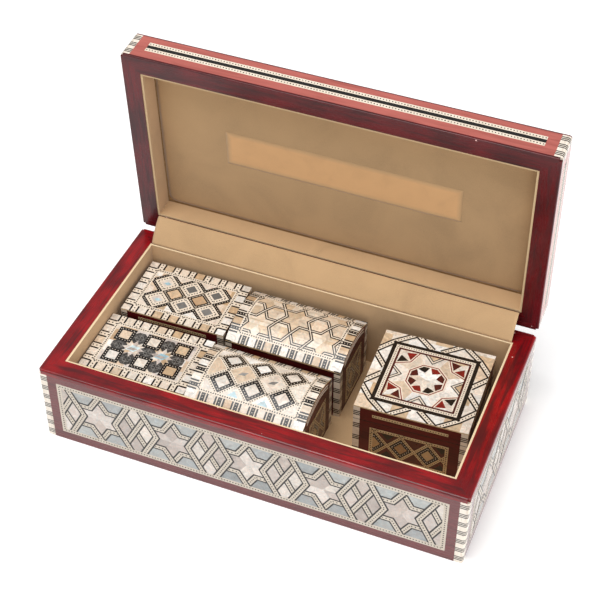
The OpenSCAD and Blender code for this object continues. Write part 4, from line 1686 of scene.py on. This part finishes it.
class MakeStage(bpy.types.Operator):
    """Makes the pale floor, the soft light and the camera."""

    bl_idname = "inlaid_box.make_stage"
    bl_label = "Stage"

    def execute(self, context):
        scene = context.scene
        self.make_floor(scene)
        world = bpy.data.worlds.new("Pale Room")
        world.use_nodes = True
        fill(world.node_tree, world.node_tree.nodes["Background"], {"Color": rgba(WHITE), "Strength": 0.42})
        scene.world = world
        middle = (CAD_BOX[0] + CAD_BOX[1]) / 2
        for name, at, size, power in LIGHTS:
            light = bpy.data.lights.new(name, "AREA")
            light.size, light.energy = size, power
            lamp = bpy.data.objects.new(name, light)
            lamp.location = at
            lamp.rotation_euler = (middle - Vector(at)).to_track_quat("-Z", "Y").to_euler()
            scene.collection.objects.link(lamp)
        self.make_camera(scene)
        scene.view_settings.view_transform = "Standard"
        return {"FINISHED"}

    def make_floor(self, scene):
        mesh, reach = bpy.data.meshes.new("floor"), 6
        mesh.from_pydata([(x, y, 0) for x, y in ring(reach, reach)], [], [(0, 1, 2, 3)])
        made = Finish("Pale Floor", Roughness=0.9, Emission_Strength=0.22, Emission_Color=rgba(WHITE))
        soft = noise(made.tree, made.position, 3)
        made.colour(mix(made.tree, soft, (0.95, 0.95, 0.95, 1), (0.98, 0.98, 0.98, 1)))
        mesh.materials.append(made.material)
        floor = bpy.data.objects.new("floor", mesh)
        scene.collection.objects.link(floor)

    def make_camera(self, scene):
        camera = bpy.data.objects.new("Camera", bpy.data.cameras.new("Camera"))
        azimuth, elevation, roll = (math.radians(a) for a in CAMERA_TURN)
        level = math.cos(elevation)
        back = Vector((math.sin(azimuth) * level, -math.cos(azimuth) * level, math.sin(elevation)))
        right = (-back).cross(Vector((0, 0, 1))).normalized()
        up = back.cross(right)
        turned = right * math.cos(roll) + up * math.sin(roll)
        up = up * math.cos(roll) - right * math.sin(roll)
        pose = Matrix((turned, up, back)).transposed().to_4x4()
        camera.matrix_world = Matrix.Translation(CAMERA_AT) @ pose
        lens = camera.data
        lens.lens, lens.sensor_width = 88.1, 36
        lens.shift_x, lens.shift_y = -0.05, -0.012
        lens.clip_start, lens.clip_end = 0.01, 50
        scene.collection.objects.link(camera)
        scene.camera = camera


OPERATORS = (
    MakeFinishes,
    MakePosts,
    MakeLinings,
    MakeHinges,
    MakeBaseInlay,
    MakeLidInlay,
    MakeFlatBoxes,
    MakeDomeBoxes,
    MakeSquareBox,
    MakeLidPad,
    MakeLidLabel,
    MakeHingeCloth,
    MakeStage,
)


class InlaidBoxPanel(bpy.types.Panel):
    """Lists the steps that make the box."""

    bl_idname = "VIEW3D_PT_inlaid_box"
    bl_label = "Inlaid Box"
    bl_space_type = "VIEW_3D"
    bl_region_type = "UI"
    bl_category = "Inlaid Box"

    def draw(self, context):
        layout = self.layout
        for group_ in (sizes(), colours()):
            for name in group_.bl_rna.properties.keys():
                if name not in ("rna_type", "name"):
                    layout.prop(group_, name)
        for operator in OPERATORS:
            layout.operator(operator.bl_idname)


CLASSES = (InlaySizes, BoxColours, *OPERATORS, InlaidBoxPanel)


def register():
    for cls in CLASSES:
        bpy.utils.register_class(cls)
    bpy.types.Scene.inlay_sizes = PointerProperty(type=InlaySizes)
    bpy.types.Scene.box_colours = PointerProperty(type=BoxColours)


def unregister():
    del bpy.types.Scene.box_colours
    del bpy.types.Scene.inlay_sizes
    for cls in reversed(CLASSES):
        bpy.utils.unregister_class(cls)


def main():
    register()
    for operator in OPERATORS:
        family, name = operator.bl_idname.split(".")
        getattr(getattr(bpy.ops, family), name)()


if __name__ == "__main__":
    main()
